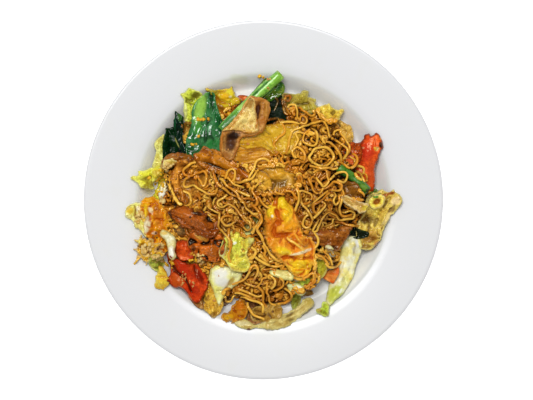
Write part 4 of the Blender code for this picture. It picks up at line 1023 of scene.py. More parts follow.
        form=dict(folds=(3.4, 1.6, 1), ragged=1.2),
        lumps=[(-88, -12, 2.6, 9, -5, 1.6), (-81, -8, 3, 5, 10, 1.6), (-80, -20, 3, 6, 0, 1.8),
            (-76, -33, 3.5, 3, 0, 1.6)],
        creases=[(0.9, 1.4, -84.5, -3, -85.5, -13, -83, -20), (0.9, 1.2, -80, -14, -74, -16)],
        dabs=[(-88.5, -10, 9, 2, 88, 250, 208, 34, 0.95), (-87, -19, 8, 2.8, 80, 250, 240, 196, 0.95),
            (-78.5, -14, 12, 4.2, -80, 222, 136, 40, 0.85), (-80.5, -6, 2.4, 3, 0, 176, 92, 26, 0.8),
            (-84.5, -8, 2, 4, 20, 248, 236, 190, 0.8), (-78, -35, 4, 3, 30, 244, 222, 150, 0.9),
            (-77, -26, 3, 3, 0, 224, 150, 44, 0.7), (-82, -25, 2.4, 1.6, 0, 250, 240, 206, 0.8)]),
    "egg_low_left": dict(look="eggWhite", cell=0.5,
        outline=(-91, -27, -87, -31, -84, -28, -81, -33, -77, -33, -80, -38, -75, -39, -76, -45, -81, -43,
            -81, -49, -85, -46, -88, -50, -91, -44, -96, -46, -94, -41, -98, -38, -93, -35, -96, -31),
        lumps=[(-92, -31, 3, 3, 0, 2), (-94, -41, 3, 3, 0, 1.6), (-80, -36, 3, 2.4, 0, 2),
            (-85, -46, 3, 2, 0, 2)],
        dabs=[(-87, -38, 1.6, 5, 40, 123, 62, 15, 0.9), (-91, -36, 3, 1.2, 0, 140, 74, 17, 0.8),
            (-81, -41, 1.2, 3, -30, 133, 68, 16, 0.8), (-93, -31, 2, 2, 0, 255, 237, 96, 0.8)],
        tint=(228, 172, 26), form=dict(folds=(2.8, 1.9, 1), ragged=1.6)),
    "olive_cabbage": dict(look="cabbage", lies="low",
        outline=(-86.5, -42, -81, -40.5, -75.5, -43.5, -75, -50, -79, -54, -83, -52.5, -86.5, -48),
        tint=(164, 162, 52)),
    "egg_blob": dict(look="egg", lies="low", cell=0.5,
        outline=(-78, -50, -74.5, -51.5, -72, -56, -70.5, -61.5, -72, -66, -77, -67.5, -81, -65.5,
            -81.5, -61, -80, -56), tint=(228, 181, 47),
        lumps=[(-76.5, -62.5, 4.5, 4, 0, 2), (-76.5, -54, 3, 3, 0, 1.8)],
        creases=[(1, 1.4, -80, -58, -73, -58)], form=dict(folds=(4, 0.5, 1))),
    "cabbage_white_low": dict(look="rib", cell=0.5,
        outline=(-76, -22.5, -71, -24, -66.5, -27.5, -65, -33.5, -66, -38, -65, -42, -67, -45, -70.5, -43,
            -71.5, -36, -73.5, -30.5, -77.5, -27), tint=(230, 216, 146),
        dabs=[(-68.5, -39, 2.8, 5, 0, 255, 252, 236, 0.9), (-74, -25, 3, 1.6, 0, 236, 196, 90, 0.8)]),
    "pepper_small_left": dict(look="pepper",
        outline=(-66, -32, -61, -30, -54, -32, -52, -38, -52, -44, -57, -46, -63, -46, -65, -42, -66, -36),
        tint=(199, 57, 12), form=dict(folds=(6, 0.3, 1)), dabs=[(-54, -40, 3, 5, 0, 184, 46, 15, 0.8)]),
    "pepper_big": dict(look="pepper", cell=0.5, grain=-52, tint=(203, 52, 13),
        outline=(-72, -40, -67, -43, -61, -46, -55, -48, -50, -48, -46, -52, -42, -58, -41, -63, -44, -70,
            -47, -76, -51, -78, -55, -75, -58, -70, -62, -66, -67, -66, -72, -61, -70, -56, -70, -50,
            -72, -46), form=dict(folds=(5, 0.6, 2.2)),
        lumps=[(-60, -52, 12, 5, -45, 2.4), (-64, -61, 5, 4, 0, 1.2), (-48, -60, 3, 8, 30, 1.4)],
        creases=[(1.3, 2.2, -72, -46, -66, -53, -58.7, -58.6, -54, -69), (1, 1.2, -52, -50, -49, -62)],
        dabs=[(-60, -51.5, 12, 4.6, -42, 196, 46, 16, 0.9), (-65, -61, 8, 5, -50, 196, 80, 20, 0.9),
            (-48.5, -57, 9, 3, -60, 129, 27, 10, 0.9), (-52, -67, 7, 4, -55, 180, 40, 13, 0.8),
            (-68, -48, 5, 1, -50, 104, 21, 6, 0.8), (-56, -73, 4, 1.4, -50, 203, 104, 28, 0.8),
            (-57, -62, 5, 0.9, -60, 114, 27, 7, 0.6)]),
    "meat_arch": dict(look="brownMeat",
        outline=(-76, 26, -74, 31, -70, 34, -64, 35, -58, 34, -54, 33, -50, 30, -52, 26, -60, 26, -65, 26,
            -70, 24, -73, 22), tint=(124, 63, 6), lumps=[(-66, 30.5, 12, 2.6, 12, 1.8)],
        dabs=[(-60, 26.5, 6, 1.4, 0, 54, 23, 4, 0.9)]),
    "egg_scrap": dict(look="eggWhite", cell=0.5,
        outline=(-76.5, 23.5, -74, 29, -69, 30.5, -64.5, 29, -65.5, 23.5, -69, 20, -74.5, 19.5),
        tint=(228, 194, 77), form=dict(folds=(2.6, 1.5, 1), thick=2.6, ragged=1.2)),
    "meat_under_loops": dict(look="brownMeat", lies="open", bare=[(-57, 7, 8, 11), (-45, 14, 5, 6)],
        outline=(-70, 17, -67, 24, -61, 27, -54, 28, -46, 28, -39, 24, -36, 17, -37, 9, -40, 2, -47, -4,
            -55, -6, -62, -4, -67, 2, -70, 10), tint=(165, 98, 26),
        dabs=[(-58, 6, 5, 9, 20, 192, 127, 36, 0.6), (-45, 12, 5, 7, 0, 196, 135, 40, 0.6)]),
    "meat_band": dict(look="brownMeat", grain=80,
        outline=(-58, 30, -64, 28, -68, 23, -70, 16, -68, 10, -66, 4, -62, -1, -57, -4, -56, 0, -59, 6,
            -62, 12, -62, 18, -58, 23, -54, 26), tint=(186, 108, 26),
        form=dict(folds=(3.4, 0.9, 2), thick=3.4)),
    "meat_lower": dict(look="brownMeat", cell=0.5,
        outline=(-54, -22, -48, -22, -41, -24, -35, -24, -30, -26, -28, -33, -30, -40, -35, -46, -42, -46,
            -48, -43, -54, -38, -56, -31), tint=(177, 80, 14), form=dict(folds=(4.2, 1.8, 1.4), ragged=0.9),
        lumps=[(-46, -28, 7, 3, -25, 1.8), (-38, -38, 6, 5, 0, 1.6), (-50, -36, 3, 3, 0, 1.2)],
        creases=[(1.1, 1.6, -54, -30, -46, -33, -38, -31, -31, -33)],
        # the two peach dabs at (-48, -26.5) and (-44, -31) are painted highlights
        dabs=[(-48, -26.5, 4.4, 1.8, -30, 236, 180, 116, 0.9), (-44, -31, 3.4, 1.2, -30, 214, 150, 92, 0.8),
            (-46, -28, 6.5, 2.8, -28, 204, 146, 46, 0.9), (-37, -39, 6, 5, 0, 147, 77, 17, 0.7),
            (-52, -36, 2.4, 3, 0, 85, 40, 7, 0.8), (-40, -33, 5, 1.2, 10, 96, 42, 8, 0.8)]),
    "rust_scrap": dict(look="brownMeat",
        outline=(-71, -15, -66, -17, -61, -20, -57, -24, -60, -28, -65, -27, -69, -22.5),
        tint=(104, 66, 26), dabs=[(-64, -22.5, 3, 1.6, -30, 176, 122, 58, 0.8)]),
    "meat_rust": dict(look="brownMeat", cell=0.5, grain=-25,
        outline=(-72, -10, -68, -6, -62, -4, -58, -4, -51, -6, -44, -8, -39, -11, -34, -16, -32, -22,
            -35, -27, -42, -28, -48, -26, -55, -22, -61, -20, -67, -16), tint=(135, 59, 10),
        finish=dict(sink=0.7), form=dict(folds=(3.6, 1.5, 1.8), ragged=1.2),
        lumps=[(-60, -10.5, 9, 4.5, -20, 2.4), (-46, -19, 9, 4, -35, 2.2), (-39.5, -14, 4.5, 4, 0, -3),
            (-50, -10, 4, 2, 0, -1.6)], creases=[(0.9, 1.6, -71, -8, -66, -15, -58, -18, -50, -22)],
        # the near-black dabs at (-39.5, -14) and (-49, -10) are painted shade in the pits, and the one at
        # (-69, -13) is painted shade between this slice and the egg
        dabs=[(-59, -11, 9, 4, -25, 200, 104, 24, 0.8), (-39.5, -14, 4.4, 3.6, 0, 34, 18, 10, 0.95),
            (-49, -10, 5, 1.8, -20, 60, 30, 12, 0.9), (-69, -13, 1.4, 5, 30, 56, 28, 10, 0.9)]),
    "meat_right": dict(look="brownMeat",
        outline=(29, -24, 36, -22, 44, -22, 52, -22, 59, -20, 66, -20, 64, -26, 60, -32, 56, -38, 48, -37,
            42, -34, 34, -34), tint=(136, 69, 14),
        lumps=[(45, -27, 10, 3, 5, 1.4), (57, -27, 5, 4, 20, 1.2)],
        dabs=[(42, -24, 8, 1.6, 0, 141, 64, 12, 0.8), (52, -36, 4, 2, 0, 62, 27, 6, 0.8)]),
    "dark_scrap": dict(look="darkLeaf",
        outline=(63.5, -22.5, 69, -21, 73.5, -22.5, 79.5, -24.5, 79, -28, 73, -29.5, 67.5, -28.5),
        tint=(26, 32, 18), dabs=[(65.5, -24, 2, 1.2, 0, 20, 96, 60, 0.9)]),
    "white_bit": dict(look="rib", outline=(46, -34.5, 50, -34, 53, -38, 54.5, -42.5, 51.5, -44.5, 48, -41),
        tint=(226, 208, 150)),
    "green_bit": dict(look="leaf", lies="low",
        outline=(79.5, 4.5, 82, 7.5, 85.5, 8.5, 88, 5, 85, 1.5, 81.5, 1.5), tint=(126, 168, 56)),
    "meat_low": dict(look="paleMeat", lies="open", bare=[(9, 16, 14, 8.5)],
        outline=(-18, 28, -10, 30, -1, 31, 10, 30, 20, 26, 28, 20, 28, 12, 22, 5, 12, 4, 2, 4, -7, 7,
            -14, 14, -18, 20), tint=(211, 144, 31), form=dict(folds=(5, 0.7, 2)),
        finish=dict(mottle=0.3, grit=0.2),
        lumps=[(0, 14, 9, 6, 20, 1.6), (14, 20, 8, 6, 0, 1.4), (20, 12, 4, 5, 0, 1.4)],
        creases=[(1.1, 1.6, -8, 24, 2, 20, 8, 12, 6, 6), (1, 1.2, 12, 26, 18, 18, 26, 16)],
        dabs=[(3, 22, 8, 5, 20, 210, 159, 55, 0.6), (17, 13, 5, 6, 0, 221, 179, 84, 0.6),
            (-8, 9, 5, 3, 20, 192, 119, 31, 0.7), (6, 5.5, 9, 2, 0, 172, 100, 21, 0.8)]),
    "meat_mid": dict(look="paleMeat", cell=0.5,
        outline=(-23, 37, -18, 40, -10, 40, -2, 41, 3, 38, 8, 34, 7, 30, 0, 26, -7, 26, -14, 26, -21, 26,
            -26, 30), tint=(194, 126, 26), form=dict(folds=(5, 0.5, 2)), finish=dict(mottle=0.3, grit=0.2),
        lumps=[(-8, 38.5, 13, 2.2, 0, 1.8), (-16, 32, 6, 4, 0, 1.6)],
        creases=[(0.9, 1.2, -18, 35.5, -8, 35.5, 1, 36.5)],
        # the pale band at (-6, 38.8) along the raised top edge is a painted highlight
        dabs=[(-6, 38.8, 13, 2.2, 0, 250, 200, 106, 0.95), (-14, 31, 5, 3, 10, 186, 124, 36, 0.7),
            (0, 30, 6, 3, 0, 176, 104, 26, 0.7), (-10, 34.5, 3, 1, 20, 147, 76, 18, 0.7)]),
    "meat_pale": dict(look="paleMeat",
        outline=(-20, 49, -12, 49, -6, 50, -2, 54, 5, 56, 12, 57, 18, 56, 26, 56, 29, 48, 26, 41, 20, 34,
            12, 33, 6, 34, -1, 38, -8, 37, -15, 38, -19, 42), tint=(201, 148, 29),
        form=dict(folds=(6, 0.4, 2)), finish=dict(mottle=0.3, grit=0.15, sink=0.6),
        lumps=[(-8, 44, 10, 4, 5, 1.8), (12, 48, 9, 7, 30, 1.8)],
        creases=[(1, 1.6, -19, 41, -8, 40.5, 0, 42, 6, 38), (1.1, 1.2, 0, 53, 6, 47, 8, 40)],
        dabs=[(12, 50, 8, 4, 20, 216, 168, 34, 0.7), (-8, 44.5, 9, 2.6, 3, 206, 144, 32, 0.8),
            (20, 54, 6, 1.6, -5, 184, 130, 22, 0.8), (4, 36, 3, 1.4, 0, 178, 110, 18, 0.7)]),
    "meat_long": dict(look="brownMeat", cell=0.5, grain=-30,
        outline=(-52, 32, -48, 36, -44, 40, -40, 38, -34, 37, -27, 34, -20, 28, -14, 24, -9, 18, -8, 14,
            -16, 12, -23, 14, -30, 18, -38, 20, -46, 24), tint=(161, 85, 7), form=dict(folds=(4, 0.5, 3)),
        lumps=[(-43, 33, 6, 5, -30, 2), (-28, 27, 12, 4, -32, 1.6)],
        creases=[(1, 1.2, -48, 29, -38, 26, -26, 21)],
        dabs=[(-44, 36, 4, 2, -30, 141, 74, 11, 0.7), (-30, 28, 10, 2.4, -32, 192, 118, 17, 0.8),
            (-15, 19, 6, 3, -45, 179, 92, 14, 0.8), (-42, 28, 5, 3, -10, 150, 85, 14, 0.7)]),
    "meat_folded": dict(look="paleMeat", cell=0.5, sheet=2.2,
        outline=(-10, 76, -6, 76, -1, 75, 4, 72, 5, 66, 4, 61, 2, 56, 0, 50, -7, 47, -14, 46, -17, 44,
            -18, 40, -20, 34, -22, 30, -26, 29, -30, 32, -32, 37, -32, 42, -31, 49, -27, 54, -22, 58,
            -17, 65, -14, 71), tint=(184, 122, 48), finish=dict(rough=0.4, gloss=dict(IOR=1.34)),
        form=dict(folds=(4, 0.4, 2), frill=0.4, ragged=0.4),
        lumps=[(2.2, 65.5, 2, 9, -4, 3.2), (-3, 73.5, 7, 2.2, 10, 2.6), (-4.5, 64.5, 3, 9, -12, -3),
            (-30.5, 42.5, 1.8, 11, 4, 3.2), (-24, 42, 5, 9.5, 12, -1.2)],
        # the dark dabs at (-4.7, 65) and (-24, 42.5) are painted shade in the hollows, and the darkest at
        # (-22, 47) is the painted shadow of the flap
        dabs=[(-4.7, 65, 8, 2.4, 76, 105, 50, 11, 0.95), (2.4, 66, 9, 1.8, 86, 194, 131, 43, 0.9),
            (-2, 73.5, 6, 2, -10, 190, 121, 36, 0.9), (-24, 42.5, 10, 5.2, 78, 90, 50, 18, 0.9),
            (-22, 47, 5.5, 3.6, 10, 36, 18, 8, 0.95), (-30.8, 43, 10, 1.5, 86, 192, 115, 31, 0.95),
            (-20.5, 36, 5, 1.4, 70, 165, 95, 28, 0.8), (-28, 33, 3, 3, 0, 165, 99, 28, 0.8),
            (0, 58, 4, 3, 60, 179, 108, 30, 0.8)]),
    "meat_flap": dict(look="paleMeat", node="meat_folded", cell=0.5, over=0.3, sheet=2,
        outline=(-10, 76, -6, 72, -6, 66, -4, 59, -3, 52, -6, 49, -10, 48, -17, 50, -24, 51, -30, 50,
            -26, 54, -21, 60, -16, 66, -13, 72), tint=(227, 180, 86), edge=(192, 125, 40),
        form=dict(folds=(4, 0.4, 1.4), frill=0.4, ragged=0.4), swells=[(-13, 60, 9, 10, 0, 1)],
        lumps=[(-18, 56.5, 12, 2, 48, 1.6), (-4.5, 58, 1.6, 9, -6, 1.4), (-15, 49.5, 11, 1.6, -4, 1.2)],
        dabs=[(-17.5, 62, 13, 1.3, 56, 196, 131, 43, 0.8), (-4.4, 58, 9, 1.1, 80, 192, 121, 36, 0.9),
            (-14, 48.8, 11, 1.1, 5, 200, 133, 43, 0.9), (-9, 70, 4, 1.6, 70, 208, 148, 58, 0.8),
            (-14, 57, 3, 2, 30, 233, 210, 122, 0.7), (-9, 54, 2, 1.4, 0, 192, 139, 60, 0.6)]),
    "pale_patch": dict(look="cabbage", lies="low",
        outline=(-16, -17.5, -11.5, -15.5, -7, -18, -7, -24, -12.5, -26.5, -16.5, -22.5),
        tint=(196, 186, 96)),
    "olive_strip": dict(look="cabbage", lies="low",
        outline=(-10, -12, -5.5, -10, -1, -12.5, -2.5, -17.5, -7, -19.5), tint=(150, 140, 52)),
    "egg_centre": dict(look="egg", cell=0.5, tint=(248, 151, 37),
        outline=(3, -4, 6, -2, 8, 1, 12, 4, 15, 3, 18, 0, 22, -4, 24, -10, 26, -16, 28, -22, 31, -27,
            36, -28, 39, -36, 38, -43, 36, -50, 33, -56, 27, -58, 22, -55, 17, -50, 14, -46, 10, -42,
            6, -37, 2, -30, 1, -22, 1, -14), form=dict(folds=(4.4, 1.8, 1), frill=0.3, edge=2.6),
        lumps=[(13.7, -2, 5, 5, 0, 2.6), (5.3, -9, 3.2, 6, 0, 2.8), (17.4, -11, 4, 8, 8, 3.2),
            (19.6, -19.3, 7, 6, 0, 3.4), (4.5, -20, 3, 9, 0, 1.4), (13, -25.5, 8, 3, 10, -3.4),
            (14.5, -36, 8, 4.5, -20, 2.4), (31, -36, 5, 6, 0, 2), (26.5, -49, 9, 6, 10, 3),
            (25, -39.5, 9, 1.6, 12, 1.6)],
        creases=[(1.5, 3, 9, 0, 9.6, -8, 11, -17, 7, -24), (0.9, 1.2, 13, -14, 13, -8, 12, -5),
            (1.1, 2.4, 13, -43, 20, -42, 28, -43.5, 36, -43), (0.9, 1.4, 18, -47, 26, -52, 33, -48),
            (1, 1.6, 22, -27, 24, -32, 22, -36)],
        # the dabs along the groove at (10.4, -10), in the hollow at (12.5, -26) and along the creases at
        # (28.5, -44) and (27, -52) are painted shade, and the small white one at (6.5, -12) is a painted
        # highlight
        dabs=[(13.7, -2, 8, 6.5, 0, 255, 216, 40, 1), (17.6, -11, 10, 4.6, 82, 255, 206, 34, 0.95),
            (5.2, -8.5, 3.6, 7.5, 0, 255, 216, 40, 1), (19.6, -19.5, 7, 5, 0, 244, 164, 26, 0.9),
            (5, -20, 3.4, 9, 0, 228, 134, 30, 0.85), (10.4, -10, 9, 1.2, -84, 224, 132, 22, 0.9),
            (12.5, -26, 7.5, 2, 10, 196, 100, 20, 0.85), (8, -31, 4, 5, -30, 232, 150, 30, 0.8),
            (15, -38, 8, 3.6, -20, 255, 216, 40, 0.95), (31, -38, 7, 1.4, 18, 252, 240, 196, 0.9),
            (26, -39.6, 8, 1.2, 10, 252, 238, 190, 0.9), (27, -49, 11, 8, 0, 255, 210, 36, 0.95),
            (28.5, -44, 6, 0.7, 0, 200, 110, 16, 0.8), (27, -52, 5, 0.8, 0, 222, 116, 18, 0.8),
            (24, -30, 5, 3, 0, 214, 112, 22, 0.8), (6.5, -12, 1.2, 1.2, 0, 255, 250, 226, 0.8)]),
    # a brown scrap filling a gap by the egg; its near-black dab is a painted shadow in the pocket there
    "shade_scrap": dict(look="brownMeat", lies="low",
        outline=(-29, -70, -27, -68.5, -24, -71, -23.5, -75, -26, -78.5, -29, -80.5, -31.5, -79,
            -30.5, -74), tint=(116, 72, 28), dabs=[(-28, -73, 2.6, 2, 0, 34, 20, 10, 0.9)]),
}


def makeToppings(heap):
    for seed, (name, spec) in enumerate(toppings.items()):
        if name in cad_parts:
            spec["node"] = name
        first, *words = name.split("_")
        piece = first + "".join(word.capitalize() for word in words)
        if "outline" in spec:
            makeSlice(heap, piece, spec, 10 * seed)
        else:
            makeStalk(heap, piece, spec)


heap = Heap(heapMap["reach"], heapMap["cell"])
makeToppings(heap)
print("toppings are shaped:", len(toppings))


# noodles: a dark core and strands laid one by one on what is already there, in millimetres

noodle = {
    "radius": (0.88, 1.08), "flat": 0.92, "sides": 6, "step": 0.9,
    "length": (40, 150), "fewest": 22,  # a strand with no more points than this is left out
    "wave": (8.5, 17), "swing": (0.2, 1.65),
    "swell": (6, 13), "drift": 0.03, "shake": 0.05,
    "curls": 0.016, "curlRadius": (2.6, 4.6), "curlTurns": (0.6, 1.3),  # curls: a chance in each mm
    "swerves": (0, 0.7, -0.7, 1.4, -1.4, 2.1, -2.1),  # the turns that are tried in front of what is blocked
    "bundle": (1, 2, 2, 3, 4), "gap": 2.1,
    "metres": 19, "bundles": 2000,  # the most that are laid
    "reach": 92, "tries": 400, "places": 14,  # a strand starts at the barest of some places
    "sink": 4.4, "clearance": 1.6,
    "press": 0.84,  # how far a strand stays above what it lies on, as a share of its radius
    "relax": 20, "seed": 4,
}


def strandOffsets(radius, cell):
    steps = int(radius / cell)
    found = [(i, j) for i in range(-steps, steps + 1) for j in range(-steps, steps + 1)]
    found = [(i, j) for i, j in found if math.hypot(i, j) * cell < radius]
    rise = [math.sqrt(radius**2 - (i * i + j * j) * cell**2) for i, j in found]
    return np.array(found), np.array(rise)


class NoodleBed:
    def __init__(self, heap):
        self.heap = heap
        self.draw = random.Random(noodle["seed"])
        lumps = 0.8 * mm * roughness(heap.points() / mm, 16, 77).reshape(heap.x.shape)
        core = np.where(np.isnan(heap.core), 0, heap.core) - noodle["sink"] * mm + lumps
        self.level = np.fmax(np.maximum(heap.plate + 0.3 * mm, core), heap.lowTop)
        self.start = self.level.copy()
        self.layers = np.zeros(self.level.shape)
        self.strands = []

    def isBlocked(self, x, y):
        i, j = self.heap.cells((x * mm, y * mm))
        level = self.level[i, j]
        isFull = level - self.start[i, j] >= self.heap.room[i, j]
        return isFull or self.heap.ceiling[i, j] - level < noodle["clearance"] * mm

    def pickStart(self):
        # of a few free places, the one that the fewest strands cover
        free = []
        for _ in range(noodle["tries"]):
            radius, angle = noodle["reach"] * math.sqrt(self.draw.random()), self.draw.uniform(0, math.tau)
            x, y = radius * math.cos(angle), radius * math.sin(angle)
            if not self.isBlocked(x, y):
                free.append((self.layers[tuple(self.heap.cells((x * mm, y * mm)))], x, y))
            if len(free) == noodle["places"]:
                break
        return min(free)[1:] if free else None

    def wander(self, start, seed, aside, looser):
        # a wavy path in plan whose waves swell and fade, now and then with a full curl, that turns away
        # from what it mustn't cover; strands of one bundle share their random draws and drift apart
        draw, step = random.Random(seed), noodle["step"]
        (calm, wild), (short, long) = noodle["swing"], noodle["wave"]
        heading, drift = draw.uniform(0, math.tau), draw.uniform(-noodle["drift"], noodle["drift"])
        phase = draw.uniform(0, math.tau)
        swell, swellPhase = draw.uniform(*noodle["swell"]), draw.uniform(0, math.tau)
        length = draw.uniform(*noodle["length"])
        x = start[0] - aside * math.sin(heading)
        y = start[1] + aside * math.cos(heading)
        if self.isBlocked(x, y):
            return np.array([(x, y)])
        heading += looser
        curl = curlTurn = axis = 0.0
        path = [(x, y)]
        while len(path) * step < length:
            along = len(path) * step
            share = 0.5 + 0.5 * math.sin(along / swell + swellPhase)
            swing = calm + (wild - calm) * share
            wave = long - (long - short) * share * draw.uniform(0.7, 1)
            chance, radius = draw.random(), draw.uniform(*noodle["curlRadius"])
            turns, side = draw.uniform(*noodle["curlTurns"]), draw.choice((-1, 1))
            shake = draw.uniform(-noodle["shake"], noodle["shake"])
            if curl > 0:
                heading += curlTurn * (1 + 0.5 * math.cos(2 * (heading - axis)))
                curl -= step
                turn = heading
            else:
                heading += drift + shake
                phase += math.tau * step / wave * (1 + 0.3 * looser)
                turn = heading + swing * math.sin(phase)
                if chance < noodle["curls"] * step:
                    curl, curlTurn = math.tau * radius * turns, step / radius * side
                    heading, phase, axis = turn, 0.0, turn + shake * 20
            for swerve in noodle["swerves"]:
                x = path[-1][0] + step * math.cos(turn + swerve)
                y = path[-1][1] + step * math.sin(turn + swerve)
                if not self.isBlocked(x, y):
                    heading += 1.3 * swerve
                    break
            else:
                break
            path.append((x, y))
        return np.array(path)

    def lay(self, path, radius, tone, level, dive=3.0):
        # rests the path on the level, bridging its small hollows, with its ends going down into the heap
        offsets, rise = strandOffsets(radius * mm, self.heap.cell)
        cells = self.heap.cells(path * mm)[:, None, :] + offsets[None]
        cells = np.clip(cells, 0, len(self.heap.ticks) - 1)
        need = (level[cells[..., 0], cells[..., 1]] + noodle["press"] * rise).max(axis=1)
        height = need.copy()
        for _ in range(noodle["relax"]):
            beside = np.concatenate((height[:1], height, height[-1:]))
            height = np.maximum(need, 0.5 * height + 0.25 * (beside[:-2] + beside[2:]))
        along = np.arange(len(path)) * noodle["step"]
        height += 0.5 * mm * (1 + np.sin(along / 3.1 + 50 * tone)) * self.draw.uniform(0.2, 1)
        end = np.minimum(along, along[-1] - along)
        height -= dive * mm * (1 - smoothStep(end / 6))
        top = height[:, None] + noodle["press"] * rise
        for grid in (self.level, level):
            np.maximum.at(grid, (cells[..., 0], cells[..., 1]), top)
        np.add.at(self.layers, (cells[..., 0], cells[..., 1]), 0.3)
        self.strands.append((np.column_stack((path * mm, height)), radius * mm, tone))

    def layBundle(self):
        start, seed, tone = self.pickStart(), self.draw.random(), self.draw.random()
        laid = 0
        if start is None:
            return 0
        for index in range(self.draw.choice(noodle["bundle"])):
            aside = noodle["gap"] * ((index + 1) // 2) * (1 if index % 2 else -1)
            path = self.wander(start, seed, aside, self.draw.uniform(-0.12, 0.12))
            if len(path) > noodle["fewest"]:
                tone = min(max(tone + self.draw.uniform(-0.25, 0.25), 0), 1)
                self.lay(path, self.draw.uniform(*noodle["radius"]), tone, self.level)
                laid += len(path) * noodle["step"]
        return laid


def strandMesh(name, strands, surface, heap):
    # joins strands to one mesh of closed tubes, with each one's tone and depth below the surface
    sides = noodle["sides"]
    angles = (np.arange(sides) + 0.5) * math.tau / sides
    vertices, faces, tones, depths, crests = [], [], [], [], []
    start = 0
    for path, radius, tone in strands:
        ahead = np.gradient(path, axis=0)
        ahead /= np.linalg.norm(ahead, axis=1)[:, None]
        side = np.cross(ahead, (0, 0, 1))
        side /= np.linalg.norm(side, axis=1)[:, None]
        up = np.cross(side, ahead)
        ring = side[:, None] * np.cos(angles)[None, :, None] + up[:, None] * np.sin(angles)[None, :, None]
        count = len(path)
        along = np.arange(count) * noodle["step"]
        swollen = radius * (1 + 0.12 * np.sin(along / 4.3 + 40 * tone))
        ring = ring * (1, 1, noodle["flat"])
        vertices.append((path[:, None] + swollen[:, None, None] * ring).reshape(-1, 3))
        first = start + sides * np.arange(count - 1)[:, None] + np.arange(sides)[None]
        after = start + sides * np.arange(count - 1)[:, None] + (np.arange(sides)[None] + 1) % sides
        faces += np.stack((first, first + sides, after + sides, after), -1).reshape(-1, 4).tolist()
        faces.append([start + k for k in range(sides)])
        faces.append([start + sides * (count - 1) + k for k in reversed(range(sides))])
        tones.append(np.repeat(tone + 0.22 * np.sin(along / 6.1 + 70 * tone), sides))
        below = (heap.read(path[:, :2], surface) - path[:, 2] - radius) / mm
        depths.append(np.repeat(below, sides))
        crests.append(np.tile(np.sin(angles), count))
        start += sides * count
    piece = meshPiece(name, np.concatenate(vertices), faces)
    for kind, values in {"tone": tones, "depth": depths, "crest": crests}.items():
        addAttribute(piece, kind, np.concatenate(values))
    return piece


def noodlePaint():
    # painted shade darkens the sides of the strands, painted shade and sauce darken the depths, and a
    # painted highlight keeps the crests pale
    paint = Paint("noodleSaucedPaintedLight", IOR=1.6, Specular_Tint=(1, 0.88, 0.6, 1))
    tone, depth, crest = (paint.attribute(name) for name in ("tone", "depth", "crest"))
    patches = paint.noise(11 * mm, 3)
    fine = paint.noise(3 * mm, 3, 0.6)
    colour = paint.mix(patches.rise(0.38, 0.62), srgb(218, 130, 24), srgb(236, 158, 38))
    colour = paint.mix(tone.rise(0.45, 1.0) * 0.85, colour, srgb(255, 202, 76))
    colour = paint.mix((1 - tone).rise(0.55, 1.0) * 0.8, colour, srgb(160, 82, 14))
    for x, y, wide, high, *tint, share in noodleSauceAndShadeZones:
        colour = paint.mix(paint.dab(x, y, wide, high, 0) * share, colour, srgb(*tint))
    colour = paint.mix(fine.rise(0.5, 0.7) * 0.4, colour, srgb(158, 86, 16))
    # painted highlight: a pale band along the top of each strand
    colour = paint.mix((crest + tone * 0.5 + fine).rise(1.4, 2.0) * 0.6, colour, srgb(255, 206, 84))
    # painted shade on the sides of each strand
    colour = paint.mix((0.3 - crest).rise(-0.4, 0.8) * 0.8, colour, srgb(104, 46, 8))
    # painted shade and sauce: the deeper a strand lies below the surface, the browner and then darker it is
    # painted
    colour = paint.mix((depth + fine * 2).rise(1.4, 4.0) * 0.8, colour, srgb(138, 74, 18))
    colour = paint.mix((depth + fine * 2).rise(4.0, 7) * 0.85, colour, srgb(56, 26, 6))
    return paint.finish(colour, 0.16, paint.noise(2.6 * mm, 1), 0.4 * mm)


# where the sauce has made the noodles browner or paler, and one zone of painted shade: x, y, half sizes,
# red, green, blue and share
noodleSauceAndShadeZones = (
    (-28, -8, 30, 22, 158, 80, 14, 0.55), (62, -12, 20, 14, 178, 98, 22, 0.3),
    (-5, -66, 30, 16, 206, 134, 40, 0.5), (40, 46, 26, 26, 244, 176, 50, 0.5),
    (5, 16, 18, 14, 250, 192, 66, 0.4), (-14, -14, 12, 16, 160, 84, 14, 0.4),
    # the zone at (8, 68) is painted shade on the strands that lie in shadow by the shaded leaf
    (8, 68, 12, 14, 76, 58, 24, 0.95), (50, -20, 14, 14, 128, 62, 16, 0.65),
    (48, 13, 22, 16, 228, 158, 56, 0.35), (37, -8, 16, 17, 140, 74, 20, 0.5),
)

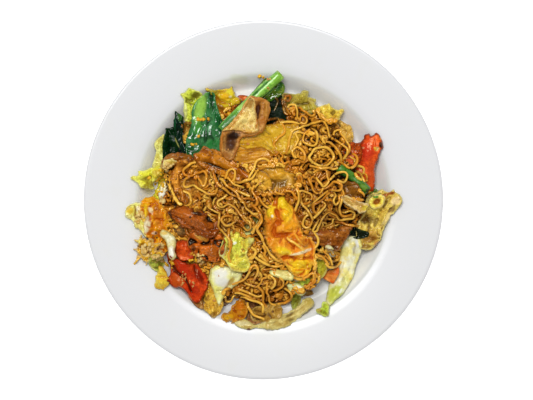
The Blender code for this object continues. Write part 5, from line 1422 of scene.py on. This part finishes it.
# the loose strands on top, each through a few points of its way: x, y, x, y and so on
topStrands = {
    "sCurve": (-36.5, 21.5, -34.5, 15.5, -30.5, 9.5, -27, 5, -29, 1.5, -33.5, -1, -33.5, -4, -30, -5.5,
        -24.5, -3, -20.5, -6, -16, -10.5, -12, -14.5, -11.5, -17),
    "loopA": (-50, 27, -55, 25.5, -59, 23, -59, 19, -54.5, 18, -49, 20.5, -44.5, 21.5, -42, 19, -42.5, 14,
        -44.5, 10, -47.5, 14, -49, 18.5),
    "loopB": (-54.5, 17.5, -58, 15.5, -59.5, 11.5, -57.5, 9.5, -53, 10.5, -48.5, 9, -44, 6.5, -40.5, 3.5,
        -36, 4, -34.5, 8),
    "leftRun": (-60.5, 7, -56, 5.5, -53.5, 3, -53.5, -1.5, -56, -4.5),
    "rustRight": (-41, -4, -39.5, -7, -36, -9, -32.5, -10, -32, -14.5, -33, -19.5, -31.5, -23),
    "midCross": (-30.5, 17.5, -26, 15.5, -23, 12.5, -19, 10, -14.5, 8.5),
    "midLoop": (-28.5, 16, -26, 20.5, -23, 23, -20.5, 20.5, -20.5, 16, -22.5, 14),
    "midArc": (-22, 13, -16.5, 13, -11.5, 14.5, -9, 18.5, -7, 23, -4.5, 28, -1, 30, 2.5, 29.5, 5.5, 27),
    "arcLeft": (-8.5, 5.5, -7, 8.5, -4, 11.5, -0.5, 14, 2.5, 14),
    "eggLeftA": (-7.5, 6.5, -6, 3, -2.5, 0, 1, -4, 5, -6),
    "eggLeftB": (-7, -5.5, -3.5, -7.5, -2, -11.5, -3.5, -16, -6, -19.5, -7.5, -23),
    "eggLeftC": (-1, -21.5, -3.5, -22.5, -2, -27, 0.5, -31.5, 2.5, -35.5, 5, -40, 9.5, -44, 12.5, -45.5),
    "paleOver": (13, 57.5, 15.5, 53, 15.5, 48.5, 11.5, 45, 8, 41.5, 8.5, 37),
    "paleRight": (13, 57.5, 17.5, 58.5, 22.5, 57.5, 26.5, 56),
    "upperSweep": (17.5, 34.5, 19, 40.5, 19.5, 46.5, 22.5, 51, 27, 54, 33, 56, 39, 57.5, 44, 59, 47, 56,
        48.5, 51, 50, 46.5),
    "upperInner": (20.5, 37, 23.5, 40, 25.5, 45, 23.5, 48.5, 27, 50, 31.5, 48.5, 34, 46.5),
    "ringA": (34, 51.5, 30, 48.5, 29.5, 44, 32.5, 40.5, 36.5, 40, 39.5, 44, 39, 49.5, 35.5, 52.5),
    "ringB": (22.5, 31, 21, 35.5, 24, 38.5, 28, 37.5, 30, 34, 30, 28.5),
    "ringC": (36, 27, 34, 31.5, 36.5, 35.5, 40.5, 38.5, 45.5, 39, 50, 36, 51.5, 31, 48.5, 27, 42.5, 25.5),
    "ringD": (39, 20, 42, 22, 47, 21.5, 48.5, 17, 47, 12.5, 42.5, 11.5, 39.5, 15.5),
    "rightA": (45.5, 43, 50, 42, 54, 38.5, 57.5, 34, 58, 28.5),
    "rightB": (56.5, 53, 59, 48.5, 62, 44, 64, 40, 63.5, 34.5, 60.5, 31.5),
    "rightC": (65, 33, 68.5, 31, 68.5, 26.5, 65, 23.5, 60.5, 25.5, 56.5, 28),
    "clumpA": (66.5, 23, 70, 25.5, 74, 24, 75, 20.5, 74.5, 17),
    "clumpB": (69.5, 22, 72.5, 20, 74, 16, 76, 13),
    "clumpC": (68, 20, 70, 17, 72.5, 14),
    "clumpD": (76, 20.5, 77.5, 17.5, 76.5, 14),
    "lowerRing": (30, -4.5, 33, -9, 36, -13.5, 34.5, -19.5, 31.5, -21.5, 29.5, -18, 31, -13, 34, -11.5),
    "lowerLoop": (41, -14.5, 39, -18, 36.5, -22.5, 39.5, -23, 41, -18.5, 44, -13.5, 48.5, -10, 53, -11.5,
        56.5, -15, 62, -15, 67, -13.5, 68.5, -10, 65.5, -8.5, 61, -10, 57.5, -9, 56.5, -4, 58, 1.5),
    "lowerEnd": (54, -17, 60.5, -18, 65.5, -18.5, 71, -20),
    "waveRight": (49.5, 10, 53, 12.5, 56, 11.5, 57.5, 8),
    "overEggA": (17.5, -27, 19.5, -30, 23.5, -32, 27, -35, 29.5, -38),
    "overEggB": (22.5, -25.5, 25.5, -29, 28.5, -33, 31.5, -33.5, 33, -30, 31.5, -27),
    "overEggC": (38, -24, 40.5, -28.5, 40.5, -33, 38, -36.5),
    "cabbageOver": (-26, -21.5, -25.5, -27, -24, -32, -24.5, -37, -25.5, -42.5, -24, -46),
    "shadeA": (7, 77, 10, 74.5, 9.5, 70, 8, 66.5),
    "shadeC": (3.5, 57.5, 7, 60.5, 11, 60.5, 12.5, 57),
    "shadeD": (16.5, 76, 20.5, 77.5, 19.5, 73, 15.5, 72.5, 17.5, 66.5, 20.5, 63.5),
    "leftEdge": (-92, -42.5, -94.5, -45.5, -97.5, -48.5),
    "bottomA": (-29, -72, -27.5, -76.5, -24, -76.5, -22, -73, -18, -72),
    "bottomB": (-22, -70, -16.5, -70.5, -11.5, -73, -6, -75.5),
    "bottomC": (2, -61.5, 2.5, -67, 3.5, -72, 2, -76.5),
    "bottomD": (-8.5, -53.5, -6, -50.5, -3.5, -52, -2, -56.5, -3.5, -60),
    "patchA": (45, -41.5, 48.5, -44.5, 52.5, -46, 56, -45.5),
    "patchB": (45.5, -47, 49.5, -50, 54, -50.5, 58, -47.5),
    "patchC": (43.5, -37, 47, -40, 50, -44, 51.5, -48.5),
    "flowA": (-37.5, 22, -36, 17.5, -34, 14, -31, 9.5, -27, 6.5, -23.5, 4.5, -19, 2, -15, 0.5, -10.5, 0.5,
        -6.5, -1),
    "flowB": (-33, 16, -29.5, 14, -27, 11, -24, 8.5, -20.5, 7, -16, 5.5, -13, 3.5, -10, 2),
    "flowC": (-19.5, 12.5, -16, 13, -11.5, 14, -8.5, 15.5, -6.5, 18.5, -4, 21.5),
    "flowD": (-7, 11, -8.5, 7, -7, 3.5, -5, 0.5, -5.5, -3, -9, -4.5),
    "flowE": (-26.5, 9.5, -22.5, 6.5, -19, 4.5, -17.5, 1.5, -13.5, -1.5, -10, -4),
    "flowF": (-24, -4.5, -20.5, -6, -18, -10.5, -15, -13.5, -12, -16, -9, -19),
    "flowG": (-17.5, -1, -14.5, -3, -12, -7, -9, -9, -6.5, -10.5, -2.5, -10),
    "flowH": (-22.5, -16, -25.5, -18, -29.5, -18, -31, -15, -28.5, -12, -25.5, -12, -23.5, -13.5),
    "flowI": (-31.5, -22, -29.5, -24, -26.5, -27, -25, -30.5, -25.5, -34.5),
    "flowJ": (-7.5, -4.5, -4, -7, -2, -10, -1, -14.5, -3.5, -18, -5, -22, -2.5, -25.5, -0.5, -30),
    "flowK": (-13, -14.5, -10, -16, -9, -19.5, -12, -22, -15, -19.5),
    "downA": (24, 11.5, 25.5, 7, 27, 3.5, 28, 0, 29.5, -4.5, 32.5, -8.5, 34, -12, 36, -15),
    "downB": (23.5, 8.5, 25.5, 4.5, 25.5, 0, 24, -4, 23.5, -7.5),
    "downC": (14.5, 7, 19, 6.5, 22.5, 3.5, 25, 0),
    "downD": (26.5, 5.5, 30, 6.5, 34, 5, 35.5, 1.5, 33, -2.5, 29.5, -3),
    "crossA": (48, 7, 44.5, 3.5, 40.5, 0.5, 37, -2.5, 35.5, -6),
    "crossB": (49.5, 5, 46, 1.5, 41.5, -1.5, 37.5, -3, 37, -7, 39, -10, 41.5, -7, 41.5, -2.5),
    "crossC": (43.5, -1, 46, -4, 43.5, -7.5, 40, -10.5, 37, -13),
    "crossD": (45, 0, 49.5, 0, 51.5, -3, 50.5, -6),
    "crossE": (51.5, 6.5, 54, 3, 52.5, -1, 54, -4, 56, -1.5, 56, 3, 59, 3.5),
    "crossF": (59, 1.5, 57.5, -3, 57, -7.5, 58.5, -11.5, 62, -12, 66, -10.5),
    "loopC": (41.5, 7, 46, 8.5, 50.5, 11, 53, 13, 57, 11.5, 57.5, 8, 54, 6.5, 50.5, 7),
    "loopD": (37, 20, 39, 21.5, 43, 23, 46.5, 21.5, 48, 17.5, 47.5, 13, 44.5, 10, 41.5, 12.5, 39, 17),
    "loopE": (49, 14.5, 51.5, 17.5, 55.5, 20, 60, 20.5, 63, 18.5, 61.5, 14, 58.5, 12.5, 54.5, 14.5),
    "waveC": (32.5, 16, 34.5, 13, 36, 9.5, 38.5, 5.5, 42, 5, 44.5, 8),
    "waveD": (34, 25, 38.5, 24.5, 43, 23.5, 47.5, 23.5, 51.5, 23, 55.5, 23.5),
    "waveE": (37, 27.5, 41.5, 25, 46, 25, 49.5, 27.5, 51.5, 30.5),
    "waveF": (50.5, 46, 54, 44.5, 57.5, 41.5, 61.5, 38.5, 62, 34.5, 60, 31),
    "curlA": (27, 58.5, 28, 61.5, 31, 62.5, 33, 60, 31, 57, 27, 56.5),
    "curlB": (17.5, 67.5, 20, 70.5, 23.5, 70.5, 25.5, 66.5, 25, 62.5, 26.5, 59.5),
    "curlC": (51.5, 48, 54, 51, 57, 52, 58.5, 49),
    "curlD": (66.5, 34, 69.5, 32, 70.5, 28, 68, 25, 65, 23.5),
    "lowA": (-10.5, -44, -7, -42.5, -3.5, -44, 0.5, -46.5, 5, -48.5, 9.5, -49.5, 14, -48.5),
    "lowB": (-10.5, -56.5, -10, -51.5, -7, -48.5, -4, -51, -4, -55, -6.5, -59, -8.5, -62),
    "lowC": (-14.5, -62, -10, -64, -5.5, -65, -2, -62.5, -0.5, -59, 2.5, -57.5),
    "lowD": (-3.5, -65, -0.5, -68.5, 0.5, -73, -0.5, -77.5, 2, -81),
    "lowE": (3.5, -65.5, 2.5, -70, 4, -74.5, 6.5, -78.5, 10, -80),
    "lowF": (5, -56, 8.5, -59, 8.5, -63.5, 5.5, -66.5),
    "lowG": (11.5, -58, 14.5, -61, 14, -65.5, 10, -68, 6.5, -68),
    "lowH": (-19, -66.5, -13.5, -68.5, -9, -71, -5, -72.5, -1, -71.5),
    "lowI": (-17.5, -72.5, -13, -74, -8.5, -76, -4, -77.5, -0.5, -80.5, -1, -85),
    "lowJ": (15.5, -66.5, 20, -69.5, 20, -74.5, 16, -77.5, 11, -78.5),
    "lowK": (-22.5, -62.5, -18, -62, -13.5, -59, -10.5, -53.5),
    "lowL": (-13, -77, -11.5, -81, -8.5, -85, -4, -88, 0.5, -90),
    "lowM": (-8.5, -35, -5.5, -37.5, -6.5, -41, -9, -43.5),
    "lowN": (-1, -33.5, 1, -37.5, 0.5, -42, 3.5, -45.5),
}


core = {"reach": 95 * mm, "cell": 2 * mm, "gap": 0.3 * mm, "depth": 0.5 * mm}


def corePaint():
    paint = Paint("sauceAndPaintedShadeDark", Coat_Weight=0.2)
    # the near-black core is sauce and painted shade in the gaps between the strands
    colour = paint.mix(paint.noise(3 * mm).rise(0.3, 0.7), srgb(24, 12, 4), srgb(76, 40, 12))
    return paint.finish(colour, 0.35)


def makeCore(bed):
    # a slab within the heap's outline, at the height where the strands start
    heap = bed.heap
    inside = (~spread(np.isnan(heap.noodleTop), 3, np.logical_or)).astype(float)
    reach = np.array((core["reach"], core["reach"]))
    piece, _ = cutGrid("noodleCore", -reach, reach, core["cell"], lambda xy: heap.read(xy, inside) > 0.99)
    above = closeSlab(piece)
    points = pointsOf(piece)
    bottom = heap.read(points[:, :2], heap.plate) + core["gap"]
    cover = np.where(np.isnan(heap.core), 0, heap.core) - core["depth"]
    top = np.minimum(bed.start, np.maximum(cover, heap.plate)) - core["gap"]
    top = np.maximum(heap.read(points[:, :2], top), bottom + core["depth"])
    points[:, 2] = np.where(above, top, bottom)
    setPoints(piece, points)
    return finishPiece(piece, corePaint(), "noodle", "noodles")


def makeNoodles(heap):
    bed = NoodleBed(heap)
    length = 0.0
    for _ in range(noodle["bundles"]):
        if length < noodle["metres"] * 1000:
            length += bed.layBundle()
    layered = len(bed.strands)
    surface = np.fmax(bed.level, heap.highTop)
    for seed, (name, points) in enumerate(topStrands.items()):
        path = smoothLine(points, noodle["step"])
        path = path + 0.9 * wobble(path, 5, seed, 100)
        # strands named shade lie in shadow beside the shaded leaf and take the darkest tones, as painted
        # shade; the other loose strands take paler tones
        tone = bed.draw.uniform(0, 0.2) if name.startswith("shade") else bed.draw.uniform(0.4, 1)
        bed.lay(path, bed.draw.uniform(*noodle["radius"]), tone, surface, 2.0)
    heap.height = surface
    smooth = blurred(spread(bed.level, 2), 6)
    paint, third = noodlePaint(), layered // 3
    ends = (0, third, 2 * third, layered, None)
    for index, name in enumerate(("noodlesLow", "noodlesMiddle", "noodlesHigh", "noodlesLoose")):
        piece = strandMesh(name, bed.strands[ends[index] : ends[index + 1]], smooth, heap)
        finishPiece(piece, paint, "noodle", "noodles")
    makeCore(bed)
    print(f"noodles are laid: {len(bed.strands)} strands, {length / 1000:.1f} m")


makeNoodles(heap)


# crumbs: one small lump modelled once, its copies strewn in clusters and each joined to one piece

crumbs = {
    "eggCrumbs": dict(slot="egg", colours=((250, 200, 40), (226, 160, 30)), size=(0.7, 1.5),
        clusters=[(-46.5, 60.2, 3.6, 1.6, 12), (-48.7, 47.5, 1.2, 0.8, 3), (-51.7, 41.5, 1.2, 0.8, 3),
            (-25.7, 64, 1.4, 1, 3), (-52.5, -45, 3.4, 1.2, 8), (-0.9, 93, 1.8, 0.7, 4),
            (84, 38, 1.6, 1.2, 4), (-78, 13, 4, 9, 24), (-76, -48, 3, 3, 6), (-69, -47, 2, 3, 6)]),
    "paleCrumbs": dict(slot="egg_white", colours=((240, 216, 144), (214, 168, 80)), size=(0.8, 2.2),
        clusters=[(-88, -38, 5, 6, 26), (-82, -44, 5, 3, 14), (-71, 25, 4, 3, 14), (-94, -12, 4, 6, 12),
            (-76, 0, 2.4, 5, 10), (-46, -44, 3, 4, 9)]),
    "garlicBits": dict(slot="brown_meat", colours=((226, 170, 96), (196, 124, 52)), size=(0.5, 1.1),
        clusters=[(-60, -58.5, 4, 4.5, 16), (-53, -64, 3, 3, 5), (3.4, 90.5, 2, 1.4, 6),
            (3.4, 83.2, 1.4, 1, 4), (-46, -47, 4, 3, 8), (0, 0, 62, 52, 40), (-10, -66, 26, 12, 16)]),
    "brownBits": dict(slot="brown_meat", colours=((96, 46, 14), (58, 26, 8)), size=(0.4, 0.9),
        clusters=[(-40, 0, 30, 44, 16), (40, -10, 30, 40, 14), (-84, -30, 8, 10, 10), (-70, 12, 5, 8, 10)],
    ),
}
crumbSeed = 11


def makeCrumbs(heap):
    draw = random.Random(crumbSeed)
    for name, spec in crumbs.items():
        deselectAll()
        bpy.ops.mesh.primitive_ico_sphere_add(subdivisions=2, radius=1 * mm)
        lump = bpy.context.object
        shape = pointsOf(lump)
        corners = np.array([polygon.vertices[:] for polygon in lump.data.polygons])
        bpy.data.objects.remove(lump)
        vertices, faces, tones = [], [], []
        for x, y, wide, high, count in spec["clusters"]:
            for _ in range(count):
                place = np.array((draw.gauss(x, wide / 2), draw.gauss(y, high / 2))) * mm
                size = draw.uniform(*spec["size"])
                turn = draw.uniform(0, 360)
                seed = draw.randrange(10**6)
                relief = roughness(shape[:, :2] + shape[:, 2:] * 0.7, 0.8 * mm, seed)
                form = shape * (1 + 0.5 * relief)[:, None]
                form = form * (size, size * draw.uniform(0.6, 1), size * draw.uniform(0.5, 0.8))
                form[:, :2] = turned(form[:, :2], turn)
                ground = float(heap.read(place[None], heap.height)[0])
                faces.append(corners + sum(map(len, vertices)))
                vertices.append(form + (*place, ground + 0.3 * size * mm))
                tones.append(np.full(len(form), draw.random()))
        piece = meshPiece(name, np.concatenate(vertices), np.concatenate(faces).tolist())
        addAttribute(piece, "tone", np.concatenate(tones))
        paint = Paint(name + "Cooked", **moist)
        pale, deep = (srgb(*colour) for colour in spec["colours"])
        share = paint.attribute("tone") * 0.7 + paint.noise(1.5 * mm).rise(0.4, 0.6) * 0.4
        material = paint.finish(paint.mix(share, pale, deep), 0.38, paint.noise(0.8 * mm), 0.2 * mm)
        finishPiece(piece, material, spec["slot"])
    print("crumbs are strewn")


makeCrumbs(heap)
